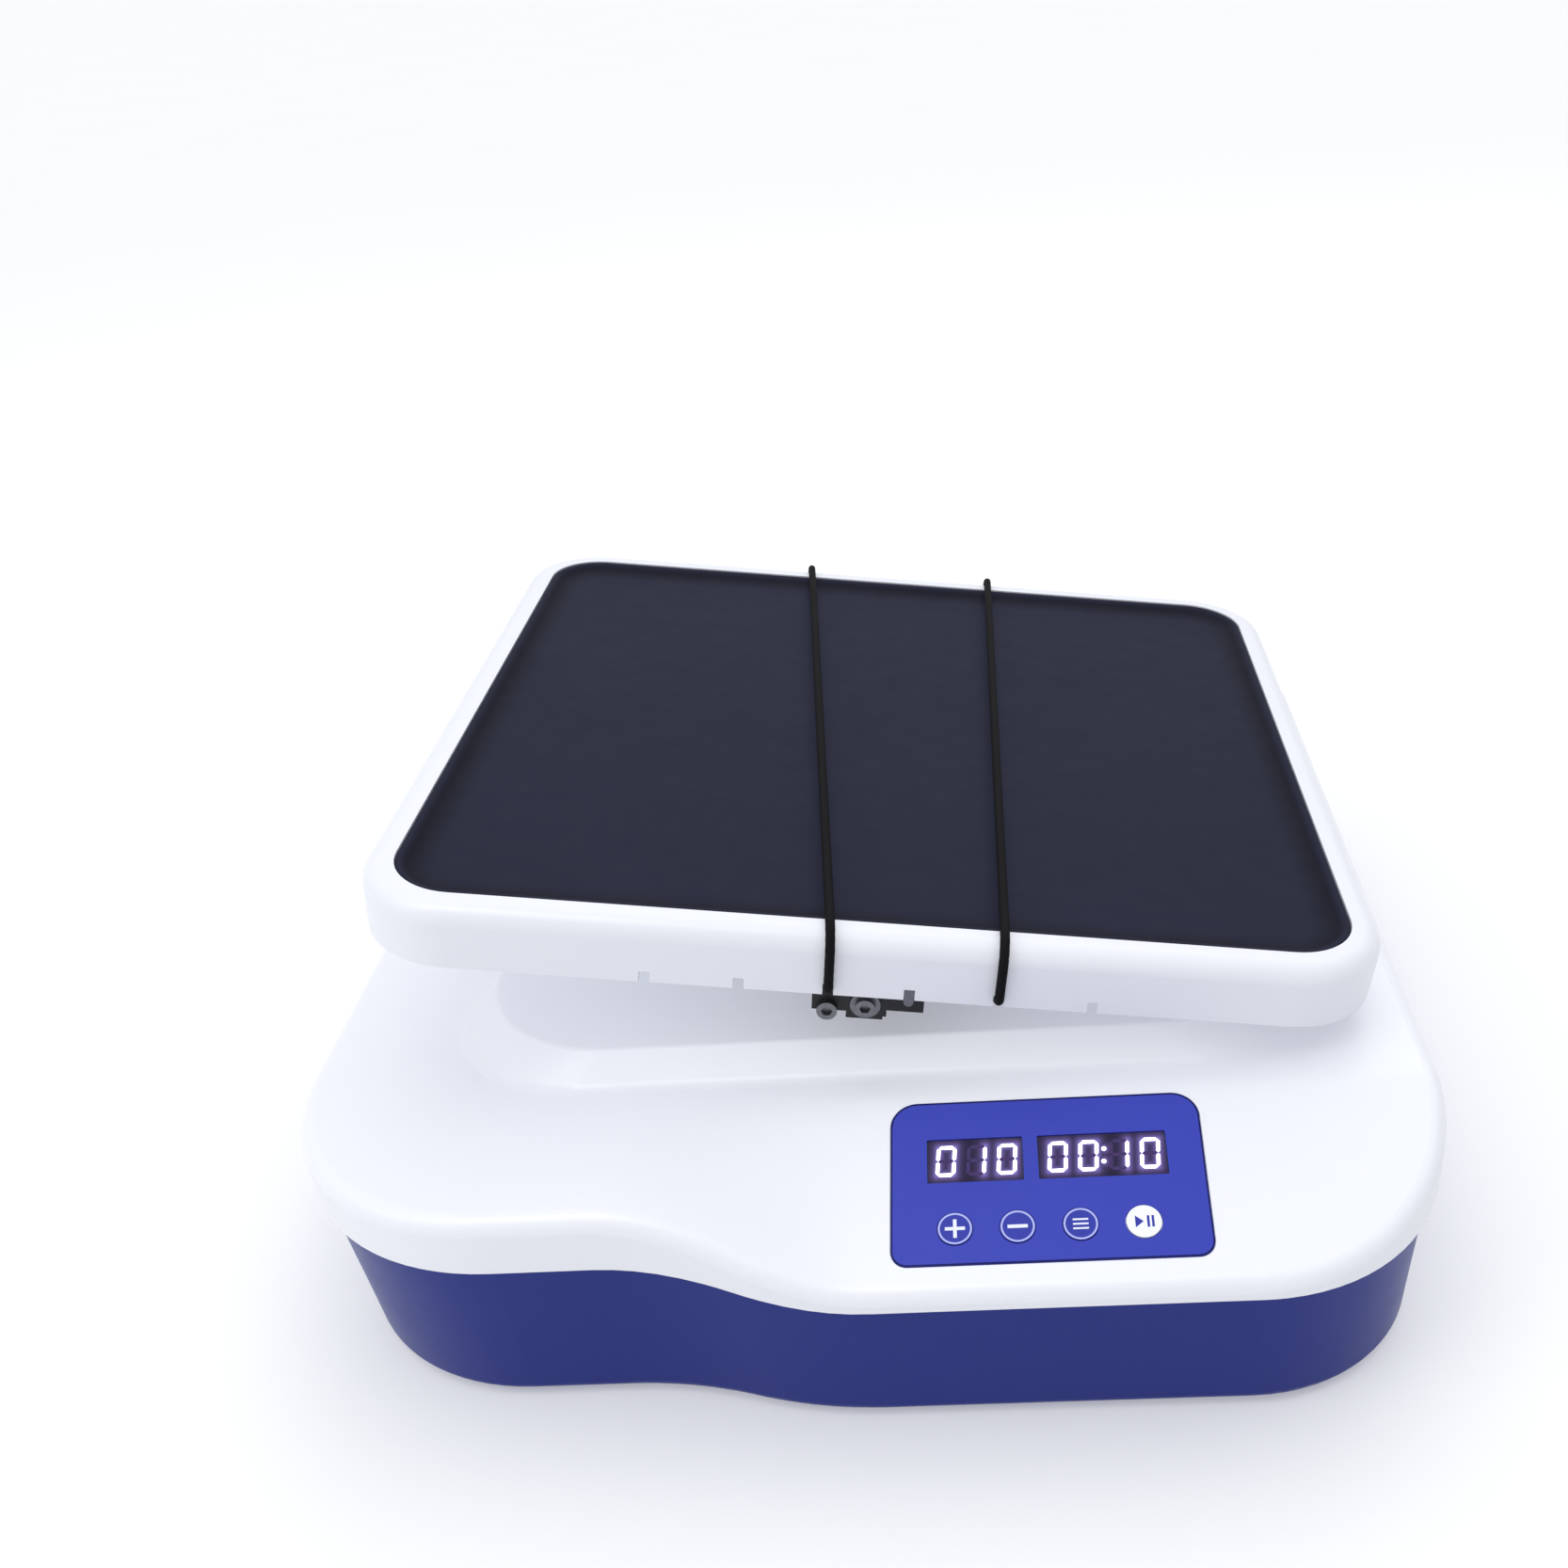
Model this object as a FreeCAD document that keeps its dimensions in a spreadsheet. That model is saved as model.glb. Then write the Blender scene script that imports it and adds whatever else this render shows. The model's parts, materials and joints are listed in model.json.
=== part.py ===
"""Nutating platform shaker: housing, tilted-crank drive, tray, straps and control console.

World frame: +Z up, +Y to the back, the console on the front right. The origin is the centre of
the footprint, at the height of the surface that the feet stand on. The platform's parts are laid
out upright about the nutation centre, the point where the crank's upright axis meets the tilted
spindle's axis, and are placed there with the tilt. The console's parts are laid out flat about
the middle of the panel and are placed on the sloping deck.
"""
import FreeCAD, Part
import math
import os
import Sketcher

V = FreeCAD.Vector

SIZES = {
    # footprint and housing
    "width": 478, "depth": 500, "bulge": 17, "bulge_x": -100, "bulge_arc": 182,
    "corner_left": 98, "corner_right": 82, "corner_rear": 60, "wall": 3, "tub_taper": 8,
    "cover_lap": 2, "joint_line": 0.8,
    "foot_gap": 3, "deck_z": 107, "deck_edge": 7, "seam_z": 81, "seam_drop": 12,
    "console_slope": 19.8, "blend_start": -100, "blend_run": 105,
    # raised platform of the deck
    "plinth_x": 11, "plinth_y": 37, "plinth_width": 352, "plinth_depth": 354, "plinth_flare": 16.5,
    "plinth_corner": 60, "plinth_z": 118, "plinth_foot": 9,
    "well_radius": 50, "collar": 5,
    # drive
    "axis_y": 39, "nut_z": 75, "tilt": 8.4, "plate_z": 16, "plate_thick": 3,
    "shaft_radius": 8.5, "bearing_outer": 20, "bearing_width": 12, "fit_gap": 0.03,
    "pulley_radius": 47, "pinion_radius": 15.5, "pulley_z": 61, "pulley_width": 12,
    "belt_thick": 2, "belt_width": 9, "motor_x": 135, "motor_radius": 32, "spindle_radius": 10,
    "hub_bearing": 21, "hub_radius": 28, "hub_low": 24, "hub_top": 80, "hub_flange": 55,
    "guide_reach": 110, "roller_radius": 7, "guide_half_gap": 8.1,
    # tray, measured up from the nutation centre
    "tray_width": 420, "tray_depth": 390, "tray_corner": 41, "tray_low": 75.5, "tray_top": 103,
    "tray_wall": 3, "rim_width": 13, "floor_low": 94, "floor_top": 97,
    "mat_gap": 0.3, "mat_thick": 2, "mat_lip": 3.6,
    "mat_corner": 28, "notch_near": 16.3, "notch_mid": 52.1, "notch_far": 89.8,
    "notch_width": 4.4, "notch_height": 5,
    "carrier_size": 240, "carrier_low": 88, "strap_radius": 2, "strap_gap": 0.3, "rim_round": 8,
    # console, about the middle of the panel
    "panel_x": 78.7, "panel_y": -204.6, "panel_z": 93.42, "panel_width": 123.6,
    "panel_height": 71.6, "panel_corner": 11, "panel_front": 6.5, "key_radius": 6.75, "key_gap": 0.35,
    "key_pitch": 24.2, "key_first": -36.8, "key_row": -20.7, "display_row": 9.1,
    "digits3": 37.7, "digits4": 50.3, "digit_height": 19, "digits3_u": -28.2, "digits4_u": 22.1,
    # rear panel
    "rear_x": -112, "rear_z": 42, "rear_y": 236,
}

doc = FreeCAD.newDocument("nutating_shaker")
sheet = doc.addObject("Spreadsheet::Sheet", "Sizes")
for row, (alias, number) in enumerate(SIZES.items(), 1):
    sheet.set(f"A{row}", alias)
    sheet.set(f"B{row}", str(number))
    sheet.setAlias(f"B{row}", alias)
doc.recompute()


class Dim:
    """A number together with the spreadsheet formula that gives it."""

    def __init__(self, value, text):
        self.value, self.text = float(value), text

    def __add__(self, other):
        other = dim(other)
        return Dim(self.value + other.value, f"({self.text} + {other.text})")

    def __sub__(self, other):
        other = dim(other)
        return Dim(self.value - other.value, f"({self.text} - {other.text})")

    def __mul__(self, other):
        other = dim(other)
        return Dim(self.value * other.value, f"({self.text} * {other.text})")

    def __truediv__(self, other):
        other = dim(other)
        return Dim(self.value / other.value, f"({self.text} / {other.text})")

    def __neg__(self):
        return Dim(-self.value, f"(0 - {self.text})")


def dim(thing):
    return thing if isinstance(thing, Dim) else Dim(thing, f"({thing})")


class Sheet:
    """Sizes by name: D.width is the spreadsheet's width."""

    def __getattr__(self, name):
        return Dim(sheet.get(name), f"Sizes.{name}")


D = Sheet()
NODES = []


def node(obj, label):
    """Mark a finished sub-part: its label names its file."""
    obj.Label = label
    NODES.append(obj)
    return obj


def bind(obj, prop, size):
    obj.setExpression(prop, dim(size).text)


def place(obj, at=(0, 0, 0), turn=None):
    """Bind an object's position; turn is (axis, angle in degrees)."""
    if turn:
        obj.Placement = FreeCAD.Placement(V(), FreeCAD.Rotation(V(*turn[0]), dim(turn[1]).value))
        bind(obj, "Placement.Rotation.Angle", turn[1])
    for letter, size in zip("xyz", at):
        bind(obj, f"Placement.Base.{letter}", size)
    return obj


def cyl(name, radius, height, at=(0, 0, 0), turn=None):
    obj = doc.addObject("Part::Cylinder", name)
    bind(obj, "Radius", radius)
    bind(obj, "Height", height)
    return place(obj, at, turn)


def box(name, size, at, turn=None):
    """A box whose at is the middle of its lower face; with a turn, its corner."""
    obj = doc.addObject("Part::Box", name)
    for prop, value in zip(("Length", "Width", "Height"), size):
        bind(obj, prop, value)
    if turn is None:
        at = (dim(at[0]) - dim(size[0]) / 2, dim(at[1]) - dim(size[1]) / 2, at[2])
    return place(obj, at, turn)


def fuse(name, *parts):
    obj = doc.addObject("Part::MultiFuse", name)
    obj.Shapes = list(parts)
    return obj


def cut(name, base, *tools):
    obj = doc.addObject("Part::Cut", name)
    obj.Base = base
    obj.Tool = tools[0] if len(tools) == 1 else fuse(name + "_tools", *tools)
    return obj


def group(name, *parts):
    """Several separate solids of one node, such as a set of screws."""
    obj = doc.addObject("Part::Compound", name)
    obj.Links = list(parts)
    return obj


def on_platform(obj):
    """Place a part, laid out about the nutation centre, with the platform's tilt."""
    return place(obj, (0, D.axis_y, D.nut_z), ((0, 1, 0), D.tilt))


def on_panel(obj):
    """Place a part, laid out flat about the middle of the panel, on the console."""
    return place(obj, (D.panel_x, D.panel_y, D.panel_z), ((1, 0, 0), D.console_slope))


# ---- PartDesign helpers -------------------------------------------------------------------

def body(name):
    return doc.addObject("PartDesign::Body", name)


def sketch(owner, name, level=0, role="XY_Plane"):
    made = owner.newObject("Sketcher::SketchObject", name)
    support = [f for f in owner.Origin.OriginFeatures if f.Role == role][0]
    made.AttachmentSupport = [(support, "")]
    made.MapMode = "FlatFace"
    bind(made, "AttachmentOffset.Base.z", level)
    return made


def drive(sk, kind, *args):
    """Add a driving constraint whose last argument is a size, and bind it."""
    size = dim(args[-1])
    number = sk.addConstraint(Sketcher.Constraint(kind, *args[:-1], size.value))
    sk.setExpression(f"Constraints[{number}]", size.text)


def pin_point(sk, geo, point, x, y):
    drive(sk, "DistanceX", -1, 1, geo, point, x)
    drive(sk, "DistanceY", -1, 1, geo, point, y)


def circle(sk, x, y, radius):
    x, y, radius = dim(x), dim(y), dim(radius)
    geo = sk.addGeometry(Part.Circle(V(x.value, y.value, 0), V(0, 0, 1), radius.value))
    drive(sk, "Radius", geo, radius)
    pin_point(sk, geo, 3, x, y)
    return geo


def arc_of(x, y, radius, start, end):
    return Part.ArcOfCircle(Part.Circle(V(x, y, 0), V(0, 0, 1), radius), start, end)


def chain(sk, geos, closed=True):
    """Join neighbours end to start with tangency, where each line is drawn forwards."""
    pairs = list(zip(geos, geos[1:] + geos[:1] if closed else geos[1:]))
    for (a, a_end), (b, b_end) in [((p[0][0], p[0][2]), (p[1][0], p[1][1])) for p in pairs]:
        sk.addConstraint(Sketcher.Constraint("Tangent", a, a_end, b, b_end))


def rounded(sk, width, height, radius, x=0, y=0, front=None):
    """A rounded rectangle about (x, y); front is the radius of its two front corners."""
    front = radius if front is None else front
    width, height, radius, front, x, y = map(dim, (width, height, radius, front, x, y))
    w, h, cx, cy = width.value / 2, height.value / 2, x.value, y.value
    r, f = radius.value, front.value
    corners = [(cx + w - f, cy - h + f, f, -90), (cx + w - r, cy + h - r, r, 0),
               (cx - w + r, cy + h - r, r, 90), (cx - w + f, cy - h + f, f, 180)]
    starts = [(cx - w + f, cy - h), (cx + w, cy - h + f), (cx + w - r, cy + h), (cx - w, cy + h - r)]
    ends = [(cx + w - f, cy - h), (cx + w, cy + h - r), (cx - w + r, cy + h), (cx - w, cy - h + f)]
    geos = []
    for start, end, (ax, ay, bend, angle) in zip(starts, ends, corners):
        geos.append((sk.addGeometry(Part.LineSegment(V(*start, 0), V(*end, 0))), 1, 2))
        geos.append((sk.addGeometry(arc_of(ax, ay, bend, math.radians(angle),
                                           math.radians(angle + 90))), 1, 2))
    chain(sk, geos)
    for line, kind in zip(geos[::2], ("Horizontal", "Vertical") * 2):
        sk.addConstraint(Sketcher.Constraint(kind, line[0]))
    sk.addConstraint(Sketcher.Constraint("Equal", geos[1][0], geos[7][0]))
    sk.addConstraint(Sketcher.Constraint("Equal", geos[3][0], geos[5][0]))
    drive(sk, "Radius", geos[1][0], front)
    drive(sk, "Radius", geos[3][0], radius)
    drive(sk, "DistanceY", -1, 1, geos[0][0], 1, y - height / 2)
    drive(sk, "DistanceX", -1, 1, geos[2][0], 1, x + width / 2)
    drive(sk, "DistanceY", -1, 1, geos[4][0], 1, y + height / 2)
    drive(sk, "DistanceX", -1, 1, geos[6][0], 1, x - width / 2)


def pad(owner, sk, length, name="Pad"):
    made = owner.newObject("PartDesign::Pad", f"{owner.Name}_{name}")
    made.Profile = sk
    bind(made, "Length", length)
    return made


def pocket(owner, sk, length, name="Pocket", up=True):
    """Cut from a sketch plane, upwards (against the sketch's usual cutting side) or down."""
    made = owner.newObject("PartDesign::Pocket", f"{owner.Name}_{name}")
    made.Profile = sk
    made.Reversed = up
    bind(made, "Length", length)
    return made


def plate(name, width, height, radius, thick, level=0, x=0, y=0, holes=(), front=None):
    """A flat rounded plate with round holes, each (x, y, radius)."""
    owner = body(name)
    sk = sketch(owner, name + "_outline", level)
    rounded(sk, width, height, radius, x, y, front)
    for hole in holes:
        circle(sk, *hole)
    pad(owner, sk, thick)
    return owner


def turned(name, steps, bore=None):
    """A turned part: steps are (radius, low, high); bore steps are cut from it."""
    solid = [cyl(f"{name}_s{i}", r, dim(high) - low, (0, 0, low))
             for i, (r, low, high) in enumerate(steps)]
    whole = solid[0] if len(solid) == 1 else fuse(name + "_solid", *solid)
    if not bore:
        return whole
    holes = [cyl(f"{name}_b{i}", r, dim(high) - low, (0, 0, low))
             for i, (r, low, high) in enumerate(bore)]
    return cut(name + "_bored", whole, *holes)


def screw(name, x, y, top, shank, length, head, head_high, socket=True):
    """A socket screw, head up, whose head's underside is at top."""
    solid = fuse(name + "_solid", cyl(name + "_shank", shank, length, (x, y, dim(top) - length)),
                 cyl(name + "_head", head, head_high, (x, y, top)))
    if not socket:
        return solid
    drive_hole = doc.addObject("Part::Prism", name + "_socket")
    drive_hole.Polygon = 6
    bind(drive_hole, "Circumradius", dim(head) * 0.5)
    bind(drive_hole, "Height", head_high)
    place(drive_hole, (x, y, dim(top) + dim(head_high) * 0.45))
    return cut(name + "_cut", solid, drive_hole)


# ---- housing ------------------------------------------------------------------------------

def outline(level, inset=0.0):
    """The housing's plan at a height: straight sides, large front corners and a front edge that
    steps forward in an S-curve to the console bulge on the right."""
    half, back = D.width.value / 2 - inset, D.depth.value / 2 - inset
    bulge_y = -D.depth.value / 2 + inset
    left_y = bulge_y + D.bulge.value
    left, right, rear = (D.corner_left.value - inset, D.corner_right.value - inset,
                         D.corner_rear.value - inset)
    bend, step = D.bulge_arc.value, D.bulge.value
    x0 = D.bulge_x.value
    run = math.sqrt(4 * bend * step - step * step)
    x1, angle = x0 + run, math.asin(run / 2 / bend)

    def arc(x, y, radius, start, end):
        points = [V(x + radius * math.cos(t), y + radius * math.sin(t), level)
                  for t in (start, (start + end) / 2, end)]
        return Part.Arc(*points).toShape()

    def line(ax, ay, bx, by):
        return Part.makeLine(V(ax, ay, level), V(bx, by, level))

    quarter = math.pi / 2
    return Part.Wire([
        line(-half, back - rear, -half, left_y + left),
        arc(-half + left, left_y + left, left, 2 * quarter, 3 * quarter),
        line(-half + left, left_y, x0, left_y),
        arc(x0, left_y - bend, bend, quarter, quarter - angle),
        arc(x1, bulge_y + bend, bend, 3 * quarter - angle, 3 * quarter),
        line(x1, bulge_y, half - right, bulge_y),
        arc(half - right, bulge_y + right, right, 3 * quarter, 4 * quarter),
        line(half, bulge_y + right, half, back - rear),
        arc(half - rear, back - rear, rear, 0, quarter),
        line(half - rear, back, -half + rear, back),
        arc(-half + rear, back - rear, rear, quarter, 2 * quarter),
    ])


def blend(x):
    """0 on the flat left part of the deck, 1 on the console, with a smooth change between."""
    t = min(max((x - D.blend_start.value) / D.blend_run.value, 0.0), 1.0)
    return t * t * (3 - 2 * t)


def deck_height(x, y):
    """The deck: flat, but falling to the front in a plane on the console's side."""
    slope = D.panel_z.value + math.tan(math.radians(D.console_slope.value)) * (y - D.panel_y.value)
    drop, soft = D.deck_z.value - slope, 1.6
    if abs(drop) < soft:
        drop = (drop + soft) ** 2 / (4 * soft)
    return D.deck_z.value - blend(x) * max(drop, 0.0)


def seam_height(x, y):
    """The seam between the tub and the cover, lower in front of the console."""
    t = min(max((-125 - y) / 125, 0.0), 1.0)
    return D.seam_z.value - D.seam_drop.value * blend(x) * t * t * (3 - 2 * t)


def sheet_over(height, shift=0.0):
    """A smooth surface over the whole footprint, height(x, y) high."""
    xs = [-300, -250, -200, -160, -130] + list(range(-115, 31, 8)) + [45, 70, 110, 160, 220, 300]
    ys = [-320, -290] + list(range(-270, -119, 6)) + [-100, -70, -30, 30, 100, 180, 260, 320]
    surface = Part.BSplineSurface()
    surface.interpolate([[V(x, y, height(x, y) + shift) for y in ys] for x in xs])
    return surface.toShape()


def rounded_block(width, depth, radius, low, high, flare):
    """A block over the plinth's middle, with rounded corners, wider by the flare at its base."""
    def ring(w, h, level):
        corner = V(D.plinth_x.value - w / 2, D.plinth_y.value - h / 2, level)
        solid = Part.makePlane(w, h, corner).extrude(V(0, 0, 1))
        edges = [e for e in solid.Edges if abs(e.tangentAt(e.FirstParameter).z) > 0.9]
        solid = solid.makeFillet(radius, edges)
        flat = [f for f in solid.Faces if f.normalAt(0, 0).z < -0.9][0]
        return flat.OuterWire
    return Part.makeLoft([ring(width + 2 * flare, depth + 2 * flare, low), ring(width, depth, high)],
                         True, True)


def cover_blank():
    """The cover's shell: skirt, deck with the rolled edge, and the raised plinth."""
    thick = D.wall.value
    outer = Part.Face(outline(50)).extrude(V(0, 0, 90))
    outer = outer.cut(sheet_over(deck_height).extrude(V(0, 0, 100)))
    deck = max((f for f in outer.Faces if f.BoundBox.ZMin > 60), key=lambda f: f.Area)
    outer = outer.makeFillet(D.deck_edge.value, deck.OuterWire.Edges)
    inner = Part.Face(outline(40, thick)).extrude(V(0, 0, 90))
    inner = inner.cut(sheet_over(deck_height, -thick).extrude(V(0, 0, 100)))
    width, depth, flare = D.plinth_width.value, D.plinth_depth.value, D.plinth_flare.value
    deck_z, plinth_z, corner = D.deck_z.value, D.plinth_z.value, D.plinth_corner.value
    plinth = rounded_block(width, depth, corner, deck_z - 2, plinth_z, flare)
    rim = [e for e in plinth.Edges if e.BoundBox.ZMin > plinth_z - 0.1]
    plinth = plinth.makeFillet(3, rim)
    hollow = rounded_block(width - 2 * thick, depth - 2 * thick, corner - thick,
                           deck_z - thick - 1, plinth_z - thick, flare)
    solid = outer.fuse(plinth)
    foot = [e for e in solid.Edges
            if max(abs(e.BoundBox.ZMin - deck_z), abs(e.BoundBox.ZMax - deck_z)) < 0.05
            and abs(e.BoundBox.Center.x - D.plinth_x.value) < width / 2 + flare
            and abs(e.BoundBox.Center.y - D.plinth_y.value) < depth / 2 + flare]
    shell = solid.makeFillet(D.plinth_foot.value, foot).cut(inner.fuse(hollow))
    return shell.cut(sheet_over(seam_height).extrude(V(0, 0, -120)))


def tub_blank():
    """The tub: tapered walls below the seam, a rounded bottom edge and a flat floor."""
    taper, thick, low = D.tub_taper.value, D.wall.value, D.foot_gap.value
    lap = D.cover_lap.value
    outer = Part.makeLoft([outline(low, taper), outline(95, lap)], True, True)
    floor = [f for f in outer.Faces if f.BoundBox.ZMax < low + 0.1][0]
    outer = outer.makeFillet(5, floor.OuterWire.Edges)
    inner = Part.makeLoft([outline(low + thick, taper + thick), outline(96, thick + lap)], True, True)
    return outer.cut(inner).cut(sheet_over(seam_height, -D.joint_line.value).extrude(V(0, 0, 120)))


cover_shell = doc.addObject("Part::Feature", "cover_shell")
cover_shell.Shape = cover_blank()
tub_shell = doc.addObject("Part::Feature", "tub_shell")
tub_shell.Shape = tub_blank()

CASE_SCREWS = [(-185, -172), (192, -196), (-205, 212), (205, 212)]
FEET = [(-150, -188), (155, -204), (-168, 206), (168, 206)]
PLATE_SCREWS = [(-80, -96), (160, -96), (-80, 170), (160, 170)]
BOARD_SCREWS = [(-214, -46), (-122, -46), (-214, 96), (-122, 96)]

floor_z = D.foot_gap + D.wall
tub_posts, tub_holes = [], []
for i, (x, y) in enumerate(CASE_SCREWS):
    tub_posts.append(cyl(f"case_post{i}", 8, 61, (x, y, D.foot_gap + 1)))
    tub_holes.append(cyl(f"case_bore{i}", 5, 46, (x, y, 0)))
    tub_holes.append(cyl(f"case_hole{i}", 2.2, 80, (x, y, 0)))
for i, (x, y) in enumerate(FEET):
    tub_holes.append(cyl(f"foot_hole{i}", 4.1, 12, (x, y, 0)))
for i, (x, y) in enumerate(PLATE_SCREWS):
    tub_posts.append(cyl(f"plate_post{i}", 7, D.plate_z - floor_z + 1, (x, y, floor_z - 1)))
    tub_holes.append(cyl(f"plate_hole{i}", 2.05, 10, (x, y, floor_z + 1)))
for i, (x, y) in enumerate(BOARD_SCREWS):
    tub_posts.append(cyl(f"board_post{i}", 4, 11, (x, y, floor_z - 1)))
    tub_holes.append(cyl(f"board_hole{i}", 1.55, 9, (x, y, floor_z + 1)))
tub_holes.append(box("rear_window", (112, 30, 44), (D.rear_x, D.rear_y + 12, D.rear_z - 22)))
for i, side in enumerate((-1, 1)):
    tub_posts.append(box(f"rear_rail{i}", (5, 7, 56), (D.rear_x + 62 * side, 235, floor_z - 1)))
for i in range(5):
    for side in (-1, 1):
        tub_holes.append(box(f"vent{i}_{side + 1}", (4, 46, 20), (107 + 14 * i, 39 + 45 * side, -5)))
node(cut("tub", fuse("tub_full", tub_shell, *tub_posts), *tub_holes), "lower_housing")

cover_posts, cover_holes = [], []
for i, (x, y) in enumerate(CASE_SCREWS):
    top = deck_height(x, y - 7) - 1
    cover_posts.append(cyl(f"cover_post{i}", 7, dim(round(top, 3)) - 66, (x, y, 66)))
    cover_holes.append(cyl(f"cover_hole{i}", 1.95, 22, (x, y, 60)))
well = cyl("well", D.well_radius, 60, (0, D.axis_y, 90))
collar = cyl("well_collar", D.well_radius + D.collar, 4, (0, D.axis_y, D.plinth_z - 1.5))
recess = on_panel(plate("panel_recess", D.panel_width + 0.6, D.panel_height + 0.6,
                        D.panel_corner + 0.3, 12, -1.2, front=D.panel_front + 0.3))
window = on_panel(plate("panel_window", 108, 53, 4, 30, -15, 0, -4.5))
panel_posts = [cyl(f"panel_post{i}", 3.5, 5.6, (u, v, -8.4))
               for i, (u, v) in enumerate([(-58, -24), (58, -24), (-58, 24), (58, 24)])]
panel_bosses = on_panel(fuse("panel_bosses", *panel_posts))
panel_threads = on_panel(group("panel_threads", *[
    cyl(f"panel_thread{i}", 1.3, 5, (u, v, -8.5))
    for i, (u, v) in enumerate([(-58, -24), (58, -24), (-58, 24), (58, 24)])]))
cover_full = fuse("cover_full", cover_shell, collar, panel_bosses, *cover_posts)
node(cut("cover", cover_full, well, recess, window, panel_threads, *cover_holes), "top_cover")

feet, foot_screws, case_screws = [], [], []
for i, (x, y) in enumerate(FEET):
    foot = fuse(f"foot{i}", cyl(f"foot_pad{i}", 15, D.foot_gap, (x, y, 0)),
                cyl(f"foot_stud{i}", 4, 4, (x, y, D.foot_gap - 1)))
    feet.append(cut(f"foot_bored{i}", foot, cyl(f"foot_bore{i}", 2.05, 6, (x, y, 1))))
    foot_screws.append(screw(f"foot_screw{i}", x, y, floor_z, 2, 4.5, 4.5, 2.4))
for i, (x, y) in enumerate(CASE_SCREWS):
    case = fuse(f"case_screw{i}", cyl(f"case_shank{i}", 1.9, 30, (x, y, 46)),
                cyl(f"case_head{i}", 3.8, 4, (x, y, 42)))
    case_screws.append(cut(f"case_driven{i}", case, cyl(f"case_drive{i}", 1.8, 2, (x, y, 41.9))))
node(group("feet", *feet), "rubber_feet")
node(group("foot_screw_set", *foot_screws), "foot_screws")
node(group("case_screw_set", *case_screws), "cover_screws")

# ---- drive: chassis, bearings, crank ------------------------------------------------------

plate_top = D.plate_z + D.plate_thick
BLOCK_SCREWS = [(-20, 0), (20, 0)]
HOUSING_SCREWS = [(30, 30), (-30, 30), (-30, -30), (30, -30)]
BRACKET_SCREWS = [(-32, -52), (32, -52), (-32, 52), (32, 52)]
holes = [(x, y, 2.2) for x, y in PLATE_SCREWS]
holes += [(x, D.axis_y + y, 2.05) for x, y in HOUSING_SCREWS]
holes += [(D.motor_x + x, D.axis_y + y, 2.05) for x, y in BRACKET_SCREWS]
holes += [(x, D.axis_y - D.guide_reach + y, 2.05) for x, y in BLOCK_SCREWS]
holes.append((0, D.axis_y, 12))
node(plate("chassis", 280, 300, 12, D.plate_thick, D.plate_z, 46, 37, holes), "chassis_plate")

housing = turned("spindle_housing", [(48, 19, 25), (D.bearing_outer + 8, 24, 58)],
                 [(D.bearing_outer, 27, 39), (17, 38, 46), (D.bearing_outer, 45, 60), (12, 18, 28)])
housing_bolts = [cyl(f"housing_bolt{i}", 2.2, 10, (x, y, 17)) for i, (x, y) in enumerate(HOUSING_SCREWS)]
node(place(cut("housing_done", housing, *housing_bolts), (0, D.axis_y, 0)), "bearing_housing")


def bearing(name, inner, outer, width, level):
    """A shielded bearing: two rings with the shields a little below them."""
    middle = (dim(inner) + outer) / 2
    shield = (dim(outer) - inner) * 0.24
    ring = turned(name, [(outer, level, dim(level) + width)],
                  [(dim(inner) + D.fit_gap, dim(level) - 1, dim(level) + width + 1)])
    grooves = []
    for i, start in enumerate((dim(level) - 1, dim(level) + width - 0.6)):
        wide = cyl(f"{name}_groove{i}", middle + shield, 1.6, (0, 0, start))
        core = cyl(f"{name}_core{i}", middle - shield, 1.6, (0, 0, start))
        grooves.append(cut(f"{name}_channel{i}", wide, core))
    return cut(name + "_done", ring, *grooves)


def on_axis(obj):
    return place(obj, (0, D.axis_y, 0))


node(on_axis(group("shaft_bearing_set", *[
    bearing(f"shaft_bearing{i}", D.shaft_radius, D.bearing_outer, D.bearing_width, level)
    for i, level in enumerate((27, 45))])), "shaft_bearings")

shaft = turned("crank_axle", [(D.shaft_radius, 21, 75.5), (11.5, 57.6, D.pulley_z - 1)])
node(on_axis(shaft), "crank_shaft")


def toothed(name, label, radius, teeth, bore, flange, hub, at):
    """A timing pulley: a toothed rim between two flanges, with a hub and a bore."""
    owner = body(name)
    rim = sketch(owner, name + "_rim", D.pulley_z)
    circle(rim, 0, 0, radius)
    circle(rim, 0, 0, bore)
    pad(owner, rim, D.pulley_width, "Rim")
    gap = sketch(owner, name + "_gap", D.pulley_z)
    circle(gap, dim(radius) - 0.2, 0, 1.35)
    groove = pocket(owner, gap, D.pulley_width, "Groove")
    pattern = owner.newObject("PartDesign::PolarPattern", name + "_teeth")
    pattern.Originals = [groove]
    pattern.Axis = (rim, ["N_Axis"])
    pattern.Angle = 360
    pattern.Occurrences = teeth
    owner.Tip = pattern
    for i, (level, thick, wide) in enumerate(((D.pulley_z - 1, 1, flange),
                                              (D.pulley_z + D.pulley_width, 1, flange),
                                              (D.pulley_z + D.pulley_width + 0.5, 1.5, hub))):
        disc = sketch(owner, f"{name}_disc{i}", level)
        circle(disc, 0, 0, wide)
        circle(disc, 0, 0, bore)
        pad(owner, disc, thick, f"Disc{i}")
    return node(place(owner, at), label)


toothed("big_pulley", "driven_pulley", D.pulley_radius, 60, D.shaft_radius, D.pulley_radius + 3, 20,
        (0, D.axis_y, 0))
toothed("small_pulley", "motor_pulley", D.pinion_radius, 20, 4, D.pinion_radius + 2.5, 9,
        (D.motor_x, D.axis_y, 0))


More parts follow.
